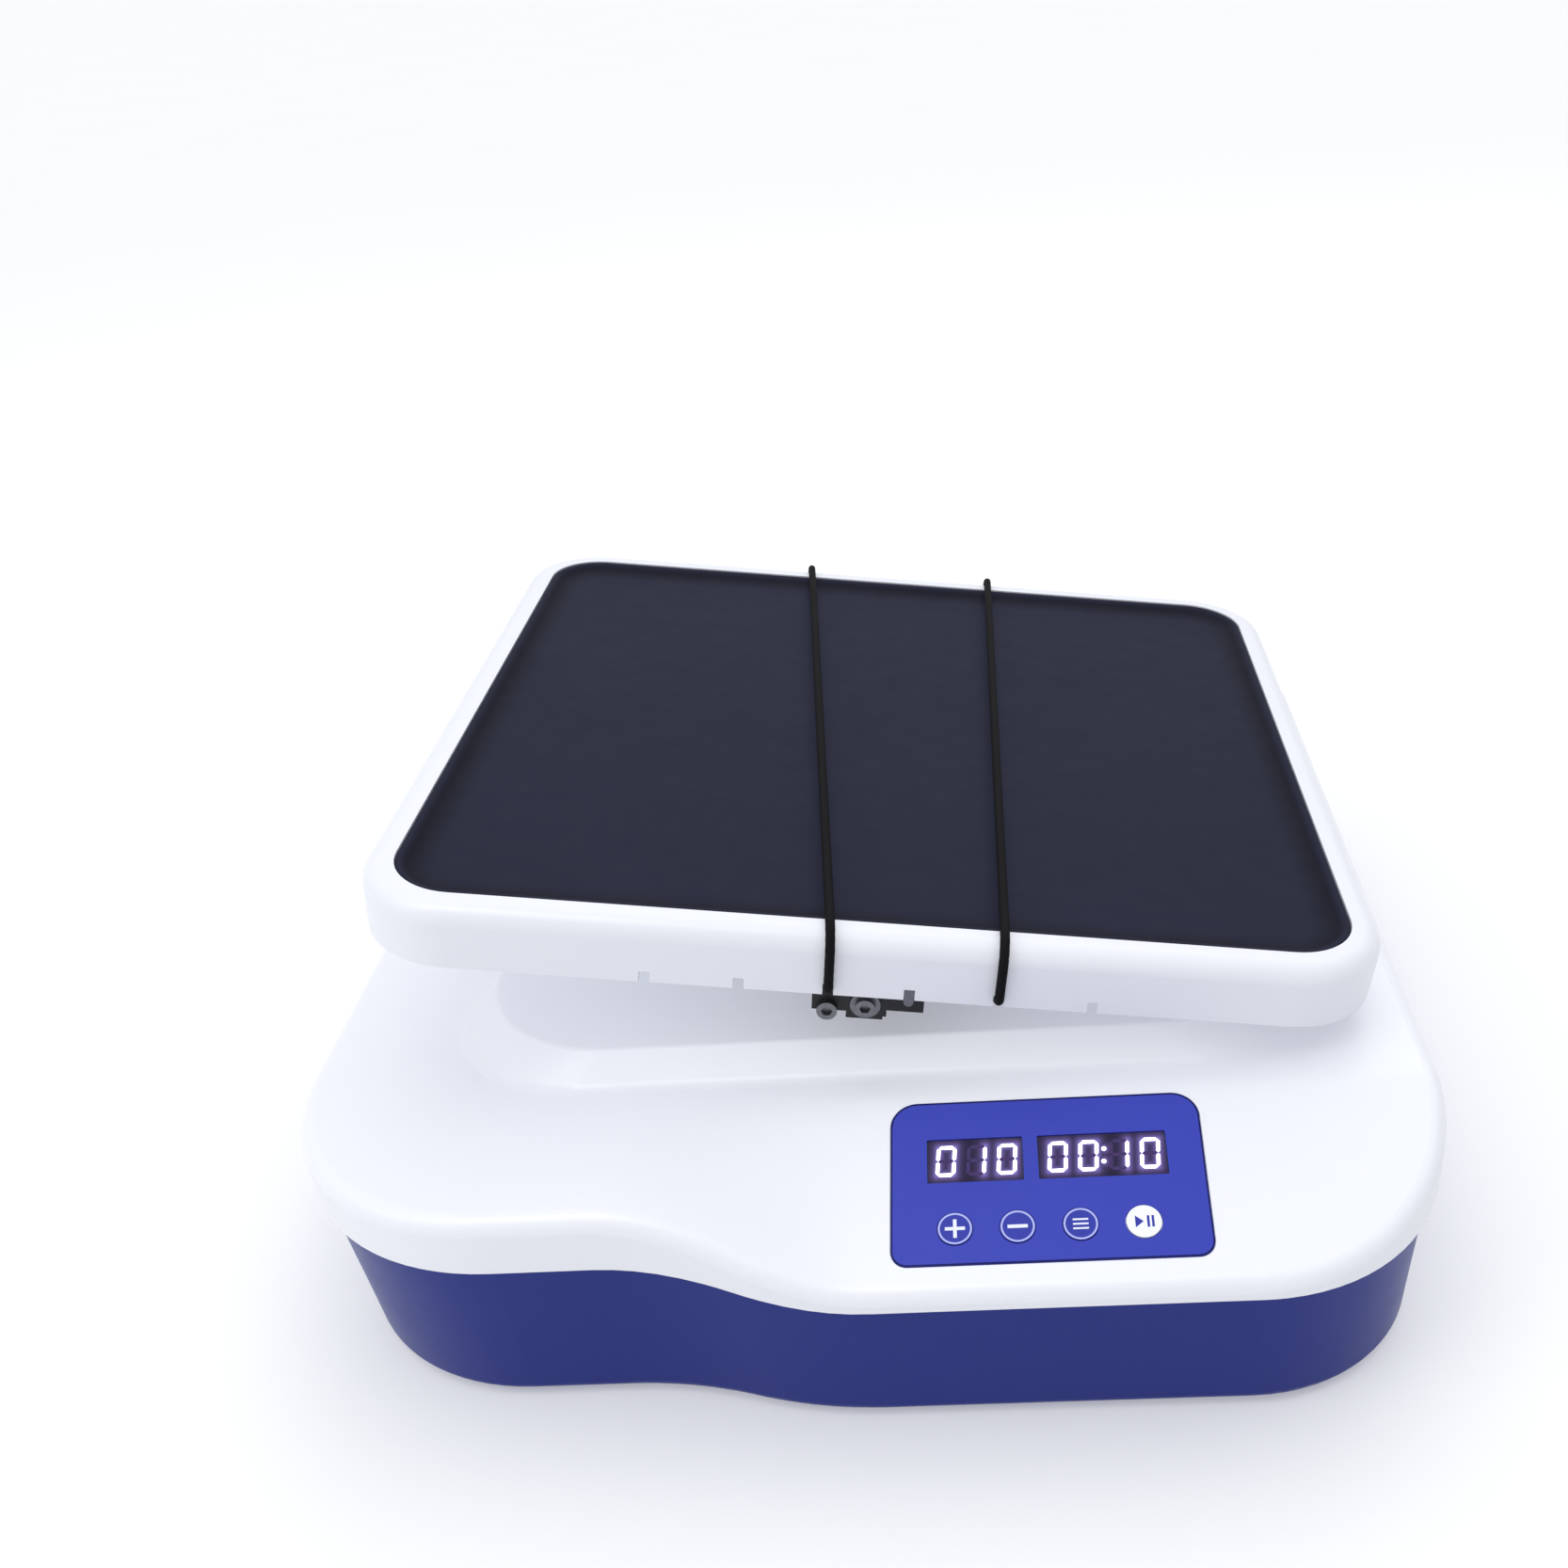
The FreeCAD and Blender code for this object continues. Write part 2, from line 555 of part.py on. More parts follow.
def loop(sk, big, small, centre):
    """The closed path round two round things on the X axis, centre apart."""
    big, small, centre = dim(big), dim(small), dim(centre)
    lean = math.acos((big.value - small.value) / centre.value)
    c, s_ = math.cos(lean), math.sin(lean)
    up_big = V(big.value * c, big.value * s_, 0)
    up_small = V(centre.value + small.value * c, small.value * s_, 0)
    low_big, low_small = V(up_big.x, -up_big.y, 0), V(up_small.x, -up_small.y, 0)
    arc_big = sk.addGeometry(arc_of(0, 0, big.value, lean, 2 * math.pi - lean))
    low = sk.addGeometry(Part.LineSegment(low_big, low_small))
    arc_small = sk.addGeometry(arc_of(centre.value, 0, small.value, -lean, lean))
    high = sk.addGeometry(Part.LineSegment(up_small, up_big))
    chain(sk, [(arc_big, 1, 2), (low, 1, 2), (arc_small, 1, 2), (high, 1, 2)])
    drive(sk, "Radius", arc_big, big)
    drive(sk, "Radius", arc_small, small)
    pin_point(sk, arc_big, 3, 0, 0)
    pin_point(sk, arc_small, 3, centre, 0)


belt = body("belt")
belt_path = sketch(belt, "belt_path", D.pulley_z + (D.pulley_width - D.belt_width) / 2)
loop(belt_path, D.pulley_radius + 0.4 + D.belt_thick, D.pinion_radius + 0.4 + D.belt_thick, D.motor_x)
loop(belt_path, D.pulley_radius + 0.4, D.pinion_radius + 0.4, D.motor_x)
pad(belt, belt_path, D.belt_width)
node(place(belt, (0, D.axis_y, 0)), "timing_belt")

# Crank block: laid out about the nutation centre, upright; the spindle's seat leans in it.
block_solid = fuse("block_solid", cyl("block_disc", 40, 15, (0, 0, 1)),
                   cut("block_weight", cyl("weight_disc", 47, 9, (0, 0, 1)),
                       box("weight_half", (60, 120, 30), (30, 0, -5))))
block_seat = place(cyl("block_seat", D.spindle_radius, 40, (0, 0, 0)), (0, 0, 0), ((0, 1, 0), D.tilt))
block_clip = box("block_clip", (60, 60, 20), (0, 0, -19.5))
seat = cut("block_seat_clipped", block_seat, block_clip)
shaft_hole = cyl("block_shaft_hole", D.shaft_radius, 2.6, (0, 0, -2))
thread = place(cyl("block_thread", 2.6, 60, (0, 0, 0)), (-70, 0, 9), ((0, 1, 0), 90))
block = cut("block", block_solid, seat, shaft_hole, thread)
node(place(block, (0, D.axis_y, D.nut_z)), "crank_block")
grub = place(cyl("grub", 2.5, 24, (0, 0, 0)), (-36, 0, 9), ((0, 1, 0), 90))
grub_socket = place(cyl("grub_socket", 1.3, 3, (0, 0, 0)), (-36.5, 0, 9), ((0, 1, 0), 90))
node(place(cut("grub_done", grub, grub_socket), (0, D.axis_y, D.nut_z)), "seat_set_screw")

spindle = turned("spindle", [(D.spindle_radius, 2.2, 76), (D.spindle_radius + 3, 20.4, 22.6)],
                 [(2.6, 60, 77)])
node(on_platform(spindle), "tilt_spindle")
cap_washer = cut("cap_washer", cyl("cap_disc", 13, 2, (0, 0, 76)), cyl("cap_hole", 2.6, 4, (0, 0, 75)))
node(on_platform(cap_washer), "spindle_washer")
node(on_platform(screw("cap_screw", 0, 0, 78, 2.5, 15, 4.3, 4)), "spindle_screw")

# ---- motor --------------------------------------------------------------------------------

MOTOR_SCREWS = [(16, 16), (-16, 16), (-16, -16), (16, -16)]
motor = turned("motor_can", [(D.motor_radius, 21, 54), (11, 53, 59), (14, 19.6, 22)], [(4.03, 40, 60)])
motor_holes = [cyl(f"motor_tap{i}", 2.05, 8, (x, y, 47)) for i, (x, y) in enumerate(MOTOR_SCREWS)]
node(place(cut("motor_done", motor, *motor_holes), (D.motor_x, D.axis_y, 0)), "motor_body")
bridge = fuse("bridge_solid", box("bridge_top", (84, 96, 4), (0, 0, 54)),
              *[box(f"bridge_leg{i}", (84, 4, 37), (0, 44 * s, 19)) for i, s in enumerate((-1, 1))],
              *[box(f"bridge_foot{i}", (84, 16, 3), (0, 52 * s, 19)) for i, s in enumerate((-1, 1))])
bridge_holes = [cyl("bridge_boss", 11.2, 10, (0, 0, 50))]
bridge_holes += [cyl(f"bridge_hole{i}", 2.2, 10, (x, y, 50)) for i, (x, y) in enumerate(MOTOR_SCREWS)]
bridge_holes += [cyl(f"bridge_slot{i}", 2.2, 8, (x, y, 17)) for i, (x, y) in enumerate(BRACKET_SCREWS)]
node(place(cut("bridge", bridge, *bridge_holes), (D.motor_x, D.axis_y, 0)), "motor_bracket")
node(place(group("motor_screw_set", *[screw(f"motor_screw{i}", x, y, 58, 2, 10, 3.5, 2.6)
                                      for i, (x, y) in enumerate(MOTOR_SCREWS)]),
           (D.motor_x, D.axis_y, 0)), "motor_screws")
node(cyl("rotor", 4, 36.4, (D.motor_x, D.axis_y, 40.6)), "motor_shaft")

# ---- anti-rotation guide and speed sensor -------------------------------------------------

guide_y = D.axis_y - D.guide_reach
cheeks = [box(f"cheek{i}", (8, 18, 76), ((D.guide_half_gap + 4) * s, 1, 26))
          for i, s in enumerate((-1, 1))]
guide = fuse("guide_solid", box("guide_base", (54, 24, 8), (0, 1, plate_top)), *cheeks)
guide_holes = [cyl(f"guide_hole{i}", 2.2, 12, (x * 1.0, y, 17)) for i, (x, y) in enumerate(BLOCK_SCREWS)]
node(place(cut("guide", guide, *guide_holes), (0, guide_y, 0)), "guide_block")
chassis_sets = ((PLATE_SCREWS, 0, 0, plate_top, 8), (HOUSING_SCREWS, 0, D.axis_y, 25, 8),
                (BRACKET_SCREWS, D.motor_x, D.axis_y, 22, 5.5), (BLOCK_SCREWS, 0, guide_y, 27, 10))
node(group("chassis_screw_set", *[
    screw(f"chassis_screw{i}{j}", dim(x) + cx, dim(y) + cy, seat_z, 2, length, 3.5, 2.6)
    for i, (spots, cx, cy, seat_z, length) in enumerate(chassis_sets)
    for j, (x, y) in enumerate(spots)]), "chassis_screws")
sensor = fuse("sensor_solid", box("sensor_foot", (18, 20, 3), (-64, D.axis_y, plate_top)),
              box("sensor_post", (3, 20, 62), (-71, D.axis_y, plate_top)),
              box("sensor_head", (12, 14, 8), (-64, D.axis_y, 73)))
node(sensor, "speed_sensor")

arm = fuse("arm_solid", box("arm_plate", (24, 34, 5), (0, -45, D.hub_low)),
           box("arm_drop", (12, 6, 33), (0, -63, -4)),
           box("arm_reach", (12, 36, 8), (0, -82, -4)),
           place(cyl("arm_pin", 3, 14, (0, 0, 0)), (0, -99.5, 0), ((1, 0, 0), 90)))
arm_ring = cut("arm_ring", cyl("arm_ring_disc", 34, 5, (0, 0, D.hub_low)),
               cyl("arm_ring_hole", D.hub_radius + 0.01, 9, (0, 0, D.hub_low - 2)))
node(on_platform(fuse("arm", arm, arm_ring)), "guide_arm")
roller = cut("roller", cyl("roller_disc", D.roller_radius, 9, (0, 0, 0)),
             cyl("roller_bore", 3.04, 20, (0, 0, -5)))
place(roller, (0, -102, 0), ((1, 0, 0), 90))
node(on_platform(group("roller_set", roller)), "guide_roller")

# ---- platform -----------------------------------------------------------------------------

HUB_SCREWS = [(28, 28), (-28, 28), (-28, -28), (28, -28)]
TRAY_SCREWS = [(95, 95), (-95, 95), (-95, -95), (95, -95)]
hub = turned("hub", [(D.hub_radius, D.hub_low, D.hub_top + 1), (D.hub_flange, D.hub_top, D.carrier_low)],
             [(D.hub_bearing, D.hub_low + 2, 38), (18, 37, 63), (D.hub_bearing, 62, 90), (18, 20, 30)])
hub_bolts = [cyl(f"hub_bolt{i}", 2.55, 20, (x, y, 75)) for i, (x, y) in enumerate(HUB_SCREWS)]
node(on_platform(cut("hub_done", hub, *hub_bolts)), "platform_hub")
node(on_platform(group("spindle_bearing_set", *[
    bearing(f"spindle_bearing{i}", D.spindle_radius, D.hub_bearing, 12, level)
    for i, level in enumerate((26, 62))])), "spindle_bearings")

carrier_holes = [(x, y, 2.55) for x, y in HUB_SCREWS] + [(x, y, 2.05) for x, y in TRAY_SCREWS]
carrier_holes += [(x, -108, 2.05) for x in (-15, 15)]
carrier_holes += [(70, 0, 18), (-70, 0, 18), (0, 70, 18)]
node(on_platform(plate("carrier", D.carrier_size, D.carrier_size, 16, D.floor_low - D.carrier_low,
                       D.carrier_low, 0, 0, carrier_holes)), "carrier_plate")
carrier_screws = [(x, y, 2.5, 80, 13.6) for x, y in HUB_SCREWS]
carrier_screws += [(x, -108, 2, 85, 8.6) for x in (-15, 15)]
node(on_platform(group("carrier_screw_set", *[
    fuse(f"carrier_screw{i}", cyl(f"carrier_shank{i}", shank, length, (x, y, seat_s - 0.2)),
         cyl(f"carrier_head{i}", shank * 1.65, 4, (x, y, seat_s - 4)))
    for i, (x, y, shank, seat_s, length) in enumerate(carrier_screws)])), "carrier_screws")

tray = body("tray_pan")
outer = sketch(tray, "tray_outline", D.tray_low)
rounded(outer, D.tray_width, D.tray_depth, D.tray_corner)
tray_block = pad(tray, outer, D.tray_top - D.tray_low, "Block")
doc.recompute()
top_face = [f"Face{i + 1}" for i, f in enumerate(tray_block.Shape.Faces)
            if f.BoundBox.ZMin > D.tray_top.value - 0.1][0]
edge = tray.newObject("PartDesign::Fillet", "tray_rim_round")
edge.Base = (tray_block, [top_face])
bind(edge, "Radius", D.rim_round)
deep = sketch(tray, "tray_recess", D.floor_top)
rounded(deep, D.tray_width - D.rim_width * 2, D.tray_depth - D.rim_width * 2, D.mat_corner)
pocket(tray, deep, 30, "Recess")
inside = (D.tray_width - D.tray_wall * 2, D.tray_depth - D.tray_wall * 2, D.tray_corner - D.tray_wall)
under = sketch(tray, "tray_underside", D.tray_low - 1)
rounded(under, *inside)
pocket(tray, under, D.floor_low - D.tray_low + 1, "Underside")
rim = sketch(tray, "rim_hollow", D.floor_low - 1)
rounded(rim, *inside)
rounded(rim, D.tray_width - D.rim_width * 2 + 6, D.tray_depth - D.rim_width * 2 + 6, D.mat_corner + 3)
pocket(tray, rim, 5, "RimHollow")
cuts = sketch(tray, "tray_bolt_holes", D.floor_low - 1)
for x, y in TRAY_SCREWS:
    circle(cuts, x, y, 2.2)
pocket(tray, cuts, 6, "BoltHoles")
slots = sketch(tray, "strap_notches", 0, "XZ_Plane")
for x in [x * side for x in (D.notch_near, D.notch_mid, D.notch_far) for side in (-1, 1)]:
    half, low, high = D.notch_width / 2, D.tray_low - 2, D.tray_low + D.notch_height
    points = [(x - half, low), (x + half, low), (x + half, high), (x - half, high)]
    spots = [V(across.value, up.value, 0) for across, up in points]
    sides = [slots.addGeometry(Part.LineSegment(a, b)) for a, b in zip(spots, spots[1:] + spots[:1])]
    for a, b in zip(sides, sides[1:] + sides[:1]):
        slots.addConstraint(Sketcher.Constraint("Coincident", a, 2, b, 1))
    for side, kind in zip(sides, ("Horizontal", "Vertical") * 2):
        slots.addConstraint(Sketcher.Constraint(kind, side))
    pin_point(slots, sides[0], 1, *points[0])
    pin_point(slots, sides[2], 1, *points[2])
notches = tray.newObject("PartDesign::Pocket", "Notches")
notches.Profile = slots
notches.Type = "ThroughAll"
notches.Midplane = True
node(on_platform(tray), "tray")

mat = body("mat_sheet")
mat_sketch = sketch(mat, "mat_outline", D.floor_top)
mat_inset = D.rim_width * 2 + D.mat_gap * 2
rounded(mat_sketch, D.tray_width - mat_inset, D.tray_depth - mat_inset, D.mat_corner - D.mat_gap)
pad(mat, mat_sketch, D.mat_lip + D.mat_thick)
dish = sketch(mat, "mat_dish", D.floor_top + D.mat_thick)
rounded(dish, D.tray_width - mat_inset - 14, D.tray_depth - mat_inset - 14, D.mat_corner - 7)
pocket(mat, dish, D.mat_lip + 1, "Dish")
node(on_platform(mat), "tray_mat")
node(on_platform(group("tray_screw_set", *[
    cyl(f"tray_shank{i}", 2, 8.8, (x, y, 88.1)) for i, (x, y) in enumerate(TRAY_SCREWS)])), "tray_screws")

# Front bracket: an angle under the tray, its flange hanging below the tray's wall.
flange_y = -189
angle = fuse("angle_solid", box("angle_top", (45.4, 90.5, 3), (0, -145.25, D.carrier_low - 3)),
             box("angle_front", (45.4, 3, 20.6), (0, flange_y, 66.4)),
             box("angle_ear", (14.2, 3, 4), (-15.6, flange_y, 64.8)),
             box("angle_belly", (15, 3, 6), (-1.2, flange_y, 61.6)),
             box("angle_step", (1.6, 3, 5.2), (7, flange_y, 63.2)))
angle_holes = [place(cyl("angle_hole_big", 2.6, 20, (0, 0, 0)), (-1, -180, 69.2), ((1, 0, 0), 90)),
               place(cyl("angle_hole_small", 2.05, 20, (0, 0, 0)), (-16.4, -180, 65.9), ((1, 0, 0), 90)),
               place(cyl("angle_hole_cord", 2.9, 20, (0, 0, 0)), (-16.9, -180, D.tray_low + 2.8),
                     ((1, 0, 0), 90)),
               *[cyl(f"angle_hole{i}", 2.2, 9, (x, -108, D.carrier_low - 6))
                 for i, x in enumerate((-15, 15))]]
node(on_platform(cut("angle", angle, *angle_holes)), "front_bracket")


def front_screw(name, x, level, shank, length, head, head_high, face):
    """A socket screw that points to the back, its head on a face that looks forwards."""
    back = ((1, 0, 0), 90)
    solid = fuse(name + "_solid",
                 place(cyl(name + "_shank", shank, length, (0, 0, 0)),
                       (x, dim(face) + length, level), back),
                 place(cyl(name + "_head", head, head_high, (0, 0, 0)), (x, face, level), back))
    hexagon = doc.addObject("Part::Prism", name + "_socket")
    hexagon.Polygon = 6
    bind(hexagon, "Circumradius", dim(head) * 0.55)
    bind(hexagon, "Height", 5)
    place(hexagon, (x, dim(face) - dim(head_high) + 2, level), back)
    return cut(name + "_cut", solid, hexagon)


washer = cut("washer_ring", cyl("washer_disc", 6.2, 1.4, (0, 0, 0)),
             cyl("washer_hole", 2.6, 5, (0, 0, -2)))
node(on_platform(group("washer_set", place(washer, (-1, -190.5, 69.2), ((1, 0, 0), 90)))), "clamp_washer")
node(on_platform(front_screw("clamp", -1, 69.2, 2.5, 12, 4.1, 2.6, -191.9)), "clamp_screw")
node(on_platform(front_screw("lock", -16.4, 65.9, 2, 5, 4.2, 2.8, -190.5)), "lock_screw")

tab = fuse("tab_solid", box("tab_blade", (4, 1.3, 8), (D.notch_near, -191.15, 72)),
           place(cyl("tab_end", 2, 1.3, (0, 0, 0)), (D.notch_near, -190.5, 72), ((1, 0, 0), 90)))
node(on_platform(tab), "notch_tab")


def strap(name, label, front_x, rear_x, front_stop):
    """An elastic cord stretched from a front notch to a rear notch over the tray's rim."""
    owner = body(name)
    lean = math.atan2(rear_x - front_x, D.tray_depth.value)
    gap = D.strap_radius + D.strap_gap
    face = (D.tray_depth / 2 + gap) / math.cos(lean)
    low, high = D.tray_low + 2.8, D.tray_top + gap
    inner = D.tray_depth / 2 - 11
    small, large = 3.5, D.rim_round + gap
    path = sketch(owner, name + "_path", 0, "YZ_Plane")
    f, lo, hi, inn = face.value, low.value, high.value, inner.value
    big = large.value
    geos = [path.addGeometry(g) for g in (
        Part.LineSegment(V(-inn, lo, 0), V(-f + small, lo, 0)),
        arc_of(-f + small, lo + small, small, math.pi, 1.5 * math.pi),
        Part.LineSegment(V(-f, lo + small, 0), V(-f, hi - big, 0)),
        arc_of(-f + big, hi - big, big, math.pi / 2, math.pi),
        Part.LineSegment(V(-f + big, hi, 0), V(f - big, hi, 0)),
        arc_of(f - big, hi - big, big, 0, math.pi / 2),
        Part.LineSegment(V(f, hi - big, 0), V(f, lo + small, 0)),
        arc_of(f - small, lo + small, small, 1.5 * math.pi, 2 * math.pi),
        Part.LineSegment(V(f - small, lo, 0), V(inn, lo, 0)))]
    ends = [(1, 2), (2, 1), (1, 2), (2, 1), (1, 2), (2, 1), (1, 2), (2, 1), (1, 2)]
    chain(path, [(g, *e) for g, e in zip(geos, ends)], closed=False)
    for g in geos[::4]:
        path.addConstraint(Sketcher.Constraint("Horizontal", g))
    for g in (geos[2], geos[6]):
        path.addConstraint(Sketcher.Constraint("Vertical", g))
    for g, size in ((1, small), (3, large), (5, large), (7, small)):
        drive(path, "Radius", geos[g], size)
    pin_point(path, geos[0], 1, -inner, low)
    drive(path, "DistanceX", -1, 1, geos[2], 1, -face)
    drive(path, "DistanceY", -1, 1, geos[4], 1, high)
    drive(path, "DistanceX", -1, 1, geos[6], 1, face)
    pin_point(path, geos[8], 2, inner, low)
    section = sketch(owner, name + "_section", -inner, "XZ_Plane")
    section.setExpression("AttachmentOffset.Base.z", dim(inner).text)
    circle(section, 0, low, D.strap_radius)
    doc.recompute()
    pipe = owner.newObject("PartDesign::AdditivePipe", name + "_cord")
    pipe.Profile = section
    pipe.Spine = (path, [f"Edge{i + 1}" for i in range(9)])
    middle, turn = ((front_x + rear_x) / 2, 0, 0), ((0, 0, 1), -math.degrees(lean))
    place(owner, middle, turn)
    stops = []
    for side, seat in ((-1, front_stop), (1, 191.5)):
        stop = cut(f"{name}_stop{side + 1}", cyl(f"{name}_disc{side + 1}", 3.6, seat - 180.4),
                   cyl(f"{name}_bore{side + 1}", 2.03, seat - 182.9, (0, 0, -1)))
        stops.append(place(stop, (0, seat * side, low), ((1, 0, 0), 90 * side)))
    node(on_platform(group(name + "_set", owner)), label)
    return place(group(name + "_stops", *stops), middle, turn)


stops = [strap("left_cord", "strap_left", -SIZES["notch_near"], -SIZES["notch_mid"], 187.3),
         strap("right_cord", "strap_right", SIZES["notch_mid"], SIZES["notch_mid"], 191.5)]
node(on_platform(group("stop_set", *stops)), "strap_stops")

# ---- console ------------------------------------------------------------------------------

overlay = plate("overlay_sheet", D.panel_width, D.panel_height, D.panel_corner, 1.3, -1,
                front=D.panel_front)
apertures = sketch(overlay, "overlay_apertures", -2)
rounded(apertures, D.digits3 + 0.4, D.digit_height + 0.4, 0.6, D.digits3_u, D.display_row)
rounded(apertures, D.digits4 + 0.4, D.digit_height + 0.4, 0.6, D.digits4_u, D.display_row)
for i in range(4):
    circle(apertures, D.key_first + D.key_pitch * i, D.key_row, D.key_radius + D.key_gap)
pocket(overlay, apertures, 4, "Apertures")
node(on_panel(overlay), "control_overlay")
for label, wide, u in (("speed_display", D.digits3, D.digits3_u),
                       ("time_display", D.digits4, D.digits4_u)):
    tall, row = D.digit_height, D.display_row
    module = fuse(f"{label}_module", box(f"{label}_case", (wide, tall, 7.8), (u, row, -8.4)),
                  box(f"{label}_face", (wide - 1, tall - 1, 1), (u, row, -1.2)))
    node(on_panel(module), label)
PANEL_SCREWS = [(-58, -24), (58, -24), (-58, 24), (58, 24)]
node(on_panel(plate("display_pcb", 123, 58, 2, 1.6, -10, 0, 0, [(u, v, 1.6) for u, v in PANEL_SCREWS])),
     "display_board")
pcb_screws = []
for i, (u, v) in enumerate(PANEL_SCREWS):
    pcb_screws.append(fuse(f"pcb_screw{i}", cyl(f"pcb_shank{i}", 1.25, 6, (u, v, -10.5)),
                           cyl(f"pcb_head{i}", 2.6, 1.8, (u, v, -11.8))))
panel_fasteners = on_panel(group("pcb_screw_set", *pcb_screws))
switches = []
for i in range(4):
    u = D.key_first + D.key_pitch * i
    switches.append(fuse(f"switch{i}", box(f"switch_case{i}", (6, 6, 3.5), (u, D.key_row, -8.4)),
                         cyl(f"switch_stem{i}", 1.75, 1.2, (u, D.key_row, -5.2))))
node(on_panel(group("switch_set", *switches)), "key_switches")
for i, label in enumerate(("key_plus", "key_minus", "key_mode", "key_start")):
    u = D.key_first + D.key_pitch * i
    cap = fuse(f"cap{i}", cyl(f"cap_top{i}", D.key_radius, 2.4, (u, D.key_row, -1.7)),
               cyl(f"cap_flange{i}", D.key_radius + 1.4, 1, (u, D.key_row, -2.6)),
               cyl(f"cap_stem{i}", 2, 1, (u, D.key_row, -3.1)))
    node(on_panel(cap), label)

# ---- power ---------------------------------------------------------------------------------

rear = box("rear_sheet", (118, 2, 50), (D.rear_x, D.rear_y, D.rear_z - 25))
inlet_x, rocker_x = D.rear_x - 22, D.rear_x + 34
inlet_hole = box("inlet_hole", (28.4, 10, 20.4), (inlet_x, D.rear_y, D.rear_z - 10.2))
rocker_hole = box("rocker_hole", (19.4, 10, 26.4), (rocker_x, D.rear_y, D.rear_z - 13.2))
node(cut("rear_panel_done", rear, inlet_hole, rocker_hole), "rear_panel")
inlet = fuse("inlet_solid", box("inlet_flange", (50, 3, 26), (inlet_x, D.rear_y + 2.5, D.rear_z - 13)),
             box("inlet_case", (28, 24, 20), (inlet_x, D.rear_y - 9, D.rear_z - 10)))
inlet_bay = box("inlet_bay", (24.6, 20, 16.6), (inlet_x, D.rear_y - 3.2, D.rear_z - 8.3))
node(cut("inlet", inlet, inlet_bay), "power_inlet")
pins = [box(f"pin{i}", (2, 14, 4), (inlet_x + dx, D.rear_y - 6.2, D.rear_z + dz))
        for i, (dx, dz) in enumerate(((-7, -1), (0, 2.6), (7, -1)))]
node(group("pin_set", *pins), "inlet_pins")
frame = fuse("frame_solid",
             box("frame_flange", (24, 2.5, 31), (rocker_x, D.rear_y + 2.25, D.rear_z - 15.5)),
             box("frame_case", (19, 20, 26), (rocker_x, D.rear_y - 7, D.rear_z - 13)))
frame_bay = box("frame_bay", (14, 18, 21.4), (rocker_x, D.rear_y - 3, D.rear_z - 10.7))
node(cut("frame", frame, frame_bay), "switch_frame")
drum = place(cyl("drum", 10, 13.2, (0, 0, 0)), (-6.6, 0, 0), ((0, 1, 0), 90))
wedge = []
for i, (side, lean) in enumerate(((1, 8), (-1, -8))):
    block_cut = box(f"rocker_cut{i}", (20, 20, 30), (0, 15.4, -15))
    wedge.append(place(group(f"rocker_plane{i}", block_cut), (0, 0, 0), ((1, 0, 0), lean)))
back_cut = box("rocker_back", (20, 20, 30), (0, -13, -15))
rocker = cut("rocker", drum, back_cut, *wedge)
rocker_set = group("rocker_set", place(rocker, (0, 0, 0), ((1, 0, 0), -8)))
node(place(rocker_set, (rocker_x, D.rear_y + 0.5, D.rear_z)), "power_rocker")

board_x, board_y = -168, 25
node(plate("power_pcb", 112, 162, 3, 1.6, floor_z + 10, board_x, board_y,
           [(x, y, 1.6) for x, y in BOARD_SCREWS]), "power_board")
node(group("board_screw_set", panel_fasteners, *[
    screw(f"power_screw{i}", x, y, floor_z + 11.6, 1.5, 8, 2.8, 2, False)
    for i, (x, y) in enumerate(BOARD_SCREWS)]), "board_screws")
board_top = floor_z + 11.6
fins = [box(f"fin{i}", (2, 60, 26), (-212 + 6 * i, 20, board_top + 4)) for i in range(5)]
node(fuse("sink", box("sink_base", (30, 60, 5), (-200, 20, board_top)), *fins), "heat_sink")
core = cut("coil_core", box("core_block", (34, 42, 32), (-150, 60, board_top)),
           box("core_gap", (10, 60, 18), (-150, 60, board_top + 7)))
node(fuse("transformer_solid", core, box("coil", (22, 36, 30), (-150, 60, board_top + 1))), "transformer")
cans = [cyl(f"capacitor{i}", 9, 30, (-160 + 24 * i, -10, board_top)) for i in range(2)]
node(group("capacitor_set", *cans, cyl("capacitor_small", 5, 18, (-136, -34, board_top))), "capacitors")

# ---- check and write ------------------------------------------------------------------------

doc.recompute()
failed = [o.Name for o in doc.Objects if "Invalid" in o.State or "Error" in o.State]
if failed:
    raise SystemExit(f"failed objects: {failed}")
for made in NODES:
    if made.Shape.isNull() or not made.Shape.isValid():
        raise SystemExit(f"bad shape: {made.Label}")
os.makedirs("parts", exist_ok=True)
for made in NODES:
    made.Shape.exportStep(f"parts/{made.Label}.step")
    print(made.Label, len(made.Shape.Solids), round(made.Shape.Volume))
print(len(NODES), "nodes")
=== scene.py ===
import json
import math

import bpy
from mathutils import Matrix, Vector


